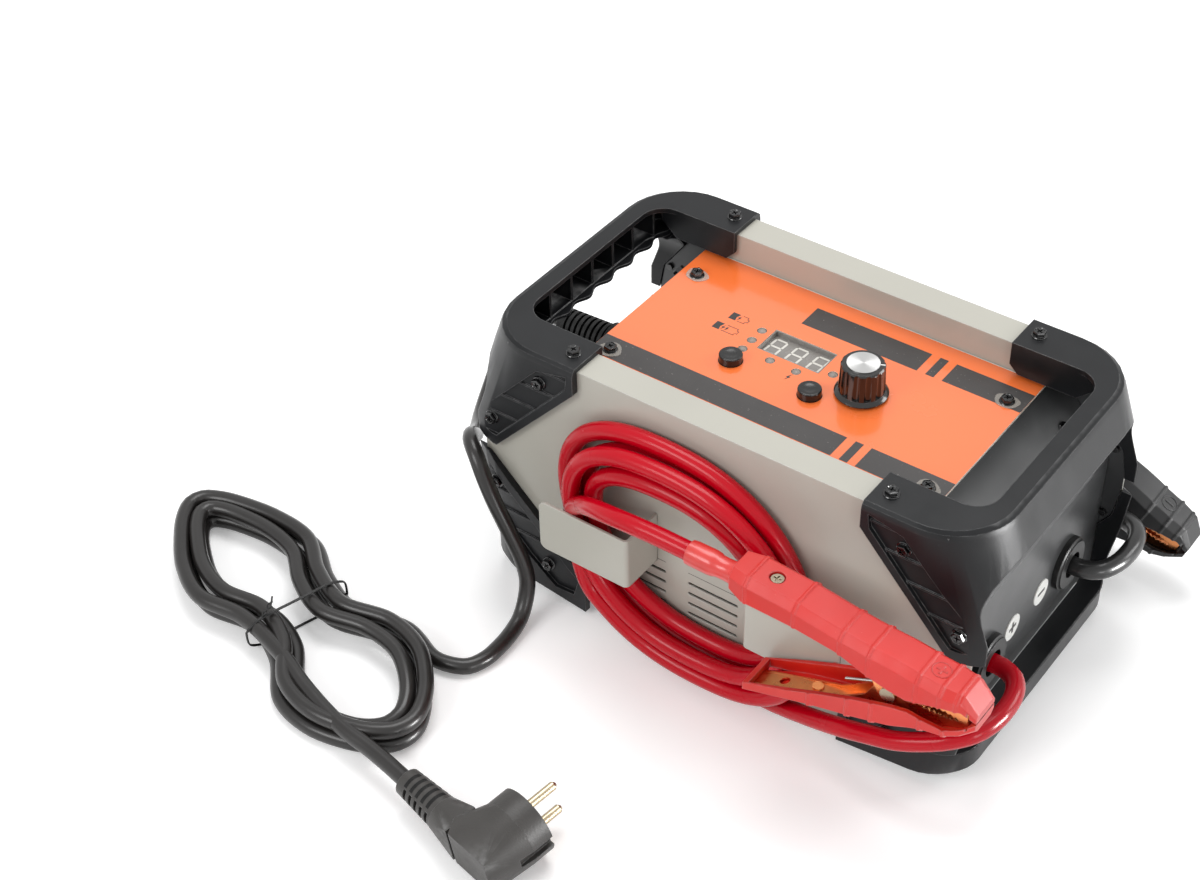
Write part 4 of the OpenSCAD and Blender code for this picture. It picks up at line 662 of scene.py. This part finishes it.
def screw_mesh():
    """Flanged hexagon head with a cross recess, seated at z = 0, and its shank below."""
    made = bmesh.new()

    def ring(r, z, n):
        angles = [2 * math.pi * k / n for k in range(n)]
        return [made.verts.new((r * math.cos(a), r * math.sin(a), z)) for a in angles]

    flange = [ring(r, z, 24) for r, z in (
        (1.9, -5), (1.9, 0), (4.1, 0), (4.2, 0.35), (3.9, 0.75), (2.6, 0.9))]
    hexagon = [ring(r, z, 6) for r, z in ((3.5, 0.7), (3.5, 2.75), (3.25, 3.1))]
    top = ring(2.55, 3.15, 24)
    dish = ring(2.3, 2.75, 24)
    recess = cross(1.75, 0.42)
    upper = [made.verts.new((x, y, 2.75)) for x, y in recess]
    lower = [made.verts.new((x * 0.85, y * 0.85, 1.6)) for x, y in recess]
    for rings in (flange, hexagon, [top, dish], [upper, lower]):
        for a, b in zip(rings, rings[1:]):
            for k in range(len(a)):
                made.faces.new((a[k], a[(k + 1) % len(a)], b[(k + 1) % len(a)], b[k]))
    made.faces.new(flange[0])
    made.faces.new(lower)
    for outer, inner in ((hexagon[-1], top), (dish, upper)):
        edges = [made.edges.get((r[k], r[(k + 1) % len(r)]))
                 for r in (outer, inner) for k in range(len(r))]
        bmesh.ops.triangle_fill(made, use_beauty=True, edges=edges)
    bmesh.ops.recalc_face_normals(made, faces=made.faces)
    mesh = bpy.data.meshes.new("screw")
    made.to_mesh(mesh)
    made.free()
    return [tuple(v.co) for v in mesh.vertices], [list(p.vertices) for p in mesh.polygons]


def screw_places():
    """Where each screw sits: its seat and the way its head points."""
    made = []
    for sx in (-1, 1):
        for sy in (-1, 1):
            made += [((sx * 92.5, sy * 73.5, FRAME_TOP), (0, 0, 1)),
                     ((sx * PLATE_SCREW[0], sy * PLATE_SCREW[1], PLATE_Z), (0, 0, 1)),
                     ((sx * 65, sy * 68, FOOT_FLOOR), (0, 0, -1)),
                     ((sx * LEAN_X, sy * 60, LEAN_Z),
                      (sx * math.sin(LEAN_TILT), 0, math.cos(LEAN_TILT)))]
            made += [((sx * x, sy * SIDE_FLOOR, z), (0, sy, 0))
                     for x, z in ((107, 150.5), (140, 112.5), (106, 24), (139, 68))]
    return made


TURN_EACH = 0.9
head_points, head_faces = screw_mesh()
points, faces = [], []
for k, (seat, out) in enumerate(screw_places()):
    turn = Vector(out).to_track_quat("Z", "Y").to_matrix() @ Matrix.Rotation(TURN_EACH * k, 3, "Z")
    faces += [[len(points) + i for i in face] for face in head_faces]
    points += [tuple(turn @ Vector(p) + Vector(seat)) for p in head_points]
screws = solid("screws", points, faces, "case", screw_look, "black_steel", smooth=38)
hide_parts("case_screws")

# ---------- marks on the clamps and discs ----------

def bar(x0, x1, y0, y1):
    """An upright rectangle's outline."""
    return [(x0, y0), (x1, y0), (x1, y1), (x0, y1)]


def pole_sign(size, width, minus):
    """The outline of a plus or minus sign."""
    a, b = size / 2, width / 2
    return bar(-a, a, -b, b) if minus else cross(a, b)


# On the grips' tops, which fall by 1 in 12
MARK_AT = (22 * MM, 0, 23.02 * MM)
MARK_FALL = math.atan2(1, 12)
MARK_RADIUS = 4.6
for colour, matrix, look in (("red", AT_RED, red_grip), ("black", AT_BLACK, black_grip)):
    mark = matrix @ Matrix.Translation(MARK_AT) @ Matrix.Rotation(MARK_FALL, 4, "Y")
    circle = [(MARK_RADIUS * math.cos(a), MARK_RADIUS * math.sin(a), 0.1)
              for a in (math.radians(9 * k) for k in range(41))]
    tube(colour + "_mark_ring", at(mark, circle), 0.28, "case", look, colour + "_grip", 2)
    prisms(colour + "_mark", [pole_sign(5.4, 1.1, colour == "black")], -0.2, 0.38, "case", look,
           colour + "_grip", mark)

# On the white discs of the right end plate
END_FACE = Matrix(((0, 0, 1, 0), (1, 0, 0, 0), (0, 1, 0, 0), (0, 0, 0, 1)))
DISC_FACE = END_X + 0.6
DISC_Z = 59.5
for name, y in (("plus", -15.5), ("minus", 15.5)):
    face = Matrix.Translation((DISC_FACE * MM, y * MM, DISC_Z * MM)) @ END_FACE
    prisms("disc_" + name, [pole_sign(7.2, 1.7, name == "minus")], 0, 0.12, "case", ink,
           "device_black", face)

# ---------- control plate ----------

PRINT_TOP = PLATE_Z + 0.06
FRONT_BAND = (-46.2, -29.8)
BACK_BAND = (35.9, 52.2)
front_bands = ((-PLATE_HALF, 43.2), (48.2, 52.8), (57.3, PLATE_HALF))
back_bands = ((-24.9, 44.6), (49.6, 54.4), (59.2, PLATE_HALF))
prisms("plate_bands", [bar(*ends, *FRONT_BAND) for ends in front_bands]
       + [bar(*ends, *BACK_BAND) for ends in back_bands],
       PLATE_Z, PRINT_TOP, "case", band_print, "device_black")


def bolt(x, y, s):
    """A lightning bolt's outline, 2 s high."""
    return [(x + s * u, y + s * v) for u, v in (
        (0.28, 1), (-0.42, -0.1), (-0.06, -0.1), (-0.3, -1), (0.42, 0.18), (0.05, 0.18))]


def battery(x0, x1, y0, y1, bolts):
    """A battery sign: its left part filled, the rest an outline with a nub, and its bolts."""
    w, m, nub = 0.35, (y0 + y1) / 2, 1.3
    tip = x1 - nub
    made = [[(x0, y0), (x0 + 4.4, y0), (x0 + 3.6, m), (x0 + 4.6, y1), (x0, y1)],
            bar(x0 + 5.6, tip, y0, y0 + w), bar(x0 + 6.4, tip, y1 - w, y1),
            bar(tip - w, tip, y0, m - nub), bar(tip - w, tip, m + nub, y1),
            bar(tip, x1, m - nub, m - nub + w), bar(tip, x1, m + nub - w, m + nub),
            bar(x1 - w, x1, m - nub, m + nub)]
    return made + [bolt(x0 + 5.4 + 2.2 * k, m, 2.3) for k in range(bolts)]


prisms("plate_signs", battery(-59.4, -48.3, 18, 23.8, 1) + battery(-62.3, -47.6, 6.7, 12.6, 2)
       + [bolt(-6.4, -6.2, 2.9)], PLATE_Z, PRINT_TOP, "case", ink, "device_black")

# Clear washers with uneven rims
washers = []
for k in range(4):
    sx, sy = (1, -1)[k % 2], (1, -1)[k // 2]
    rim = [(sx * PLATE_SCREW[0] + (6.6 + 0.5 * math.sin(3 * a + k)) * math.cos(a),
            sy * PLATE_SCREW[1] + (5.6 + 0.5 * math.cos(2 * a + k)) * math.sin(a))
           for a in (2 * math.pi * i / 36 for i in range(36))]
    washers.append(rim)
prisms("plate_washers", washers, PLATE_Z + 0.02, PLATE_Z + 0.45, "case", washer_look, "window")

# Display set below its window, in a case with a rim
WINDOW_AT = (-14, 14.5)
WINDOW_HALF = (18.5, 9.2)
CASE_LOW, CASE_HIGH = 138.9, PLATE_Z - 0.3
CASE_RIM = 0.5
FACE = PLATE_Z - 3.2
tray = []
for z, inset in ((CASE_LOW, 0), (CASE_HIGH, 0), (CASE_HIGH, CASE_RIM), (FACE, CASE_RIM)):
    tray += [(WINDOW_AT[0] + sx * (WINDOW_HALF[0] - inset),
              WINDOW_AT[1] + sy * (WINDOW_HALF[1] - inset), z)
             for sx, sy in ((-1, -1), (1, -1), (1, 1), (-1, 1))]
sides = [[4 * i + k, 4 * i + (k + 1) % 4, 4 * i + 4 + (k + 1) % 4, 4 * i + 4 + k]
         for i in range(3) for k in range(4)]
display = solid("display_case", tray, sides + [[0, 1, 2, 3], [12, 13, 14, 15]], "case",
                display_look, "window")
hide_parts("display_module")


def segment(x0, y0, x1, y1, w=0.62):
    """One lit bar of a digit, pointed at both ends."""
    if abs(x1 - x0) > abs(y1 - y0):
        return [(x0, y0), (x0 + w, y0 - w), (x1 - w, y1 - w),
                (x1, y1), (x1 - w, y1 + w), (x0 + w, y0 + w)]
    return [(x0, y0), (x0 + w, y0 + w), (x1 + w, y1 - w),
            (x1, y1), (x1 - w, y1 - w), (x0 - w, y0 + w)]


DIGIT_PITCH = 12.9
DIGIT_HALF = (3.4, 6.1)
DIGIT_LEAN = 0.07
SEGMENT_GAP = 0.18
digits = []
for k in (-1, 0, 1):
    ox, oy, g = WINDOW_AT[0] + DIGIT_PITCH * k - 0.2, WINDOW_AT[1], SEGMENT_GAP
    a, h = DIGIT_HALF
    bars = [segment(ox - a + g, oy + v * h, ox + a - g, oy + v * h) for v in (-1, 0, 1)]
    bars += [segment(ox + u * a, oy + v * h + g, ox + u * a, oy + (v + 1) * h - g)
             for u in (-1, 1) for v in (-1, 0)]
    digits += [[(x + DIGIT_LEAN * (y - oy), y) for x, y in b] for b in bars]
prisms("display_digits", digits, FACE, FACE + 0.12, "case", digit_look, "white_label")

POINTER_TURN = math.radians(26)
pointer = (Matrix.Translation((KNOB_AXIS[0] * MM, KNOB_AXIS[1] * MM, 0))
           @ Matrix.Rotation(POINTER_TURN, 4, "Z"))
prisms("knob_pointer", [bar(8.7, 11.0, -0.4, 0.4)], KNOB_TOP - 0.05, KNOB_TOP + 0.12, "knob",
       white_label, "white_label", pointer)

# ---------- painted highlights along the rails' bends, and the plate's bare back edge ------------


def rods(places, half_length, radius, sides=10):
    """Thin rods along X at the given (y, z)."""
    points, faces = [], []
    for y, z in places:
        start = len(points)
        for x in (-half_length, half_length):
            points += [(x, y + radius * math.cos(a), z + radius * math.sin(a))
                       for a in (2 * math.pi * k / sides for k in range(sides))]
        faces += [[start + k for k in range(sides)], [start + sides + k for k in range(sides)]]
        faces += [[start + k, start + (k + 1) % sides, start + sides + (k + 1) % sides,
                   start + sides + k] for k in range(sides)]
    return points, faces


RAIL_EDGES = [(s * y, 166.05) for s in (-1, 1) for y in (81.55, 64.45)]
RAIL_HALF = 84
PLATE_BACK = (63.05, 63.55)
# Pale rods along the rails' bends: a painted highlight
solid("rail_bend_highlights", *rods(RAIL_EDGES, RAIL_HALF, 0.42), "case", highlight_and_bare_edge_look, "grey_sheet", smooth=50)
prisms("plate_back_edge", [bar(-PLATE_HALF, PLATE_HALF, *PLATE_BACK)], PLATE_Z, PLATE_Z + 0.08,
       "case", highlight_and_bare_edge_look, "grey_sheet")

# ---------- thin dark line over the vents --------

COVER_Y = 82
VENT_X = (-45, 0, 45)
for side, y in (("front", -COVER_Y), ("rear", COVER_Y)):
    face = Matrix(((1, 0, 0, 0), (0, 0, 1, (y - 0.03) * MM), (0, 1, 0, 0), (0, 0, 0, 1)))
    prisms(side + "_line", [bar(x - 15.5, x + 15.5, 64.9, 65.25) for x in VENT_X], 0, 0.06, "case",
           ink, "device_black", face)

# ---------- marks on the plug ----------

AT_PLUG = (Matrix.Translation(Vector((-7.5, -229.7, 19.9)) * MM)
           @ Euler([math.radians(a) for a in (7.4, -1.1, -11.8)]).to_matrix().to_4x4())
PLUG_ARM_Y = -27
# The strain relief: where its wide end is, its radius there, how it narrows, and its slots
RELIEF_X = -34
RELIEF_R = 9.4
RELIEF_TAPER = 1.8 / 28.5
SLOT_PITCH = 4.6


def relief_slot_shade(count=5, half=1.1, turn=40, steps=8):
    """Dark bands round the upper side of the strain relief: painted shade standing in for its
    slots.
    """
    points, faces = [], []
    for k in range(count):
        middle = RELIEF_X - 4 - SLOT_PITCH * k
        start = len(points)
        for j in range(steps + 1):
            angle = math.radians(turn * (2 * j / steps - 1))
            for x, lift in ((-half, 0.1), (half, 0.1), (half, -0.5), (-half, -0.5)):
                radius = RELIEF_R - (RELIEF_X - middle - x) * RELIEF_TAPER + lift
                points.append((middle + x, PLUG_ARM_Y + radius * math.sin(angle),
                               radius * math.cos(angle)))
        for j in range(steps):
            a, b = start + 4 * j, start + 4 * j + 4
            faces += [[a + i, a + (i + 1) % 4, b + (i + 1) % 4, b + i] for i in range(4)]
        faces += [[start + i for i in range(4)], [start + 4 * steps + i for i in range(4)]]
    return points, faces


# Painted shade for the strain relief's slots, in the boot's dark rubber
relief = solid("relief_slot_shade", *relief_slot_shade(), "case", boot_look, "device_black", AT_PLUG)
ridges = prisms("plug_ridges", [bar(-13, 1, y - 0.35, y + 0.35) for y in (-30.6, -32.6, -34.6)],
                11.9, 12.4, "case", plug_look, "black_rubber", AT_PLUG)

# ---------- floor and light: white where the camera or a reflection sees them ----------

FLOOR_HALF = 5
PLAIN = (0.8, 0.8, 0.8, 1)
PALE = (0.96, 0.96, 0.96, 1)
FLOOR_GLOW = 0.2
WORLD_LEVEL = 0.55

floor_mesh = bpy.data.meshes.new("floor")
corners = [(x, y, 0) for x, y in bar(-FLOOR_HALF, FLOOR_HALF, -FLOOR_HALF, FLOOR_HALF)]
floor_mesh.from_pydata(corners, [], [[0, 1, 2, 3]])
floor = bpy.data.objects.new("floor", floor_mesh)
bpy.context.scene.collection.objects.link(floor)
floor_look = Look("floor")
rays = floor_look.add("LightPath").outputs
seen = floor_look.math("MAXIMUM", rays["Is Camera Ray"], rays["Is Glossy Ray"])
seen = floor_look.math("MAXIMUM", seen, rays["Is Transmission Ray"])
floor_look.link(floor_look.shader.inputs["Base Color"], floor_look.mix(PLAIN, PALE, seen))
floor_look.shader.inputs["Emission Color"].default_value = (1, 1, 1, 1)
floor_look.link(floor_look.shader.inputs["Emission Strength"],
                floor_look.math("MULTIPLY", seen, FLOOR_GLOW))
floor_look.shader.inputs["Roughness"].default_value = 0.8
floor_mesh.materials.append(floor_look.material)

world = bpy.data.worlds.new("world")
bpy.context.scene.world = world
world.use_nodes = True
tree = world.node_tree
back = tree.nodes["Background"]
rays = tree.nodes.new("ShaderNodeLightPath")
seen = rays.outputs["Is Camera Ray"]
for ray in ("Is Glossy Ray", "Is Transmission Ray"):
    either = tree.nodes.new("ShaderNodeMath")
    either.operation = "MAXIMUM"
    tree.links.new(seen, either.inputs[0])
    tree.links.new(rays.outputs[ray], either.inputs[1])
    seen = either.outputs[0]
level = tree.nodes.new("ShaderNodeMapRange")
level.inputs["To Min"].default_value = WORLD_LEVEL
level.inputs["To Max"].default_value = 1.0
tree.links.new(seen, level.inputs["Value"])
tree.links.new(level.outputs[0], back.inputs["Strength"])
back.inputs["Color"].default_value = (1, 1, 1, 1)


def lamp(name, at_point, size, power, look_at=(0, 0, 0.08), shine_only=False):
    """An area lamp in metres and watts; shine_only leaves it in reflections alone."""
    light = bpy.data.lights.new(name, "AREA")
    light.shape = "RECTANGLE"
    light.size, light.size_y = size
    light.energy = power
    piece = bpy.data.objects.new(name, light)
    piece.location = at_point
    piece.rotation_mode = "QUATERNION"
    piece.rotation_quaternion = (Vector(look_at) - Vector(at_point)).to_track_quat("-Z", "Y")
    piece.visible_diffuse = not shine_only
    bpy.context.scene.collection.objects.link(piece)


lamp("top_light", (-0.25, 0.35, 1.5), (1.0, 0.75), 13)
lamp("front_light", (-0.5, -1.5, 1.1), (0.85, 0.65), 12)
lamp("right_light", (1.4, -0.85, 0.5), (0.4, 0.55), 4.5)
lamp("back_light", (0.85, 0.9, 0.72), (0.5, 0.45), 5)
# Seen only as a gleam on the right end
lamp("low_light", (0.95, 0.15, 0.2), (0.4, 0.3), 20, look_at=(0.15, -0.06, 0.15),
     shine_only=True)

bpy.context.scene.view_settings.view_transform = "Standard"
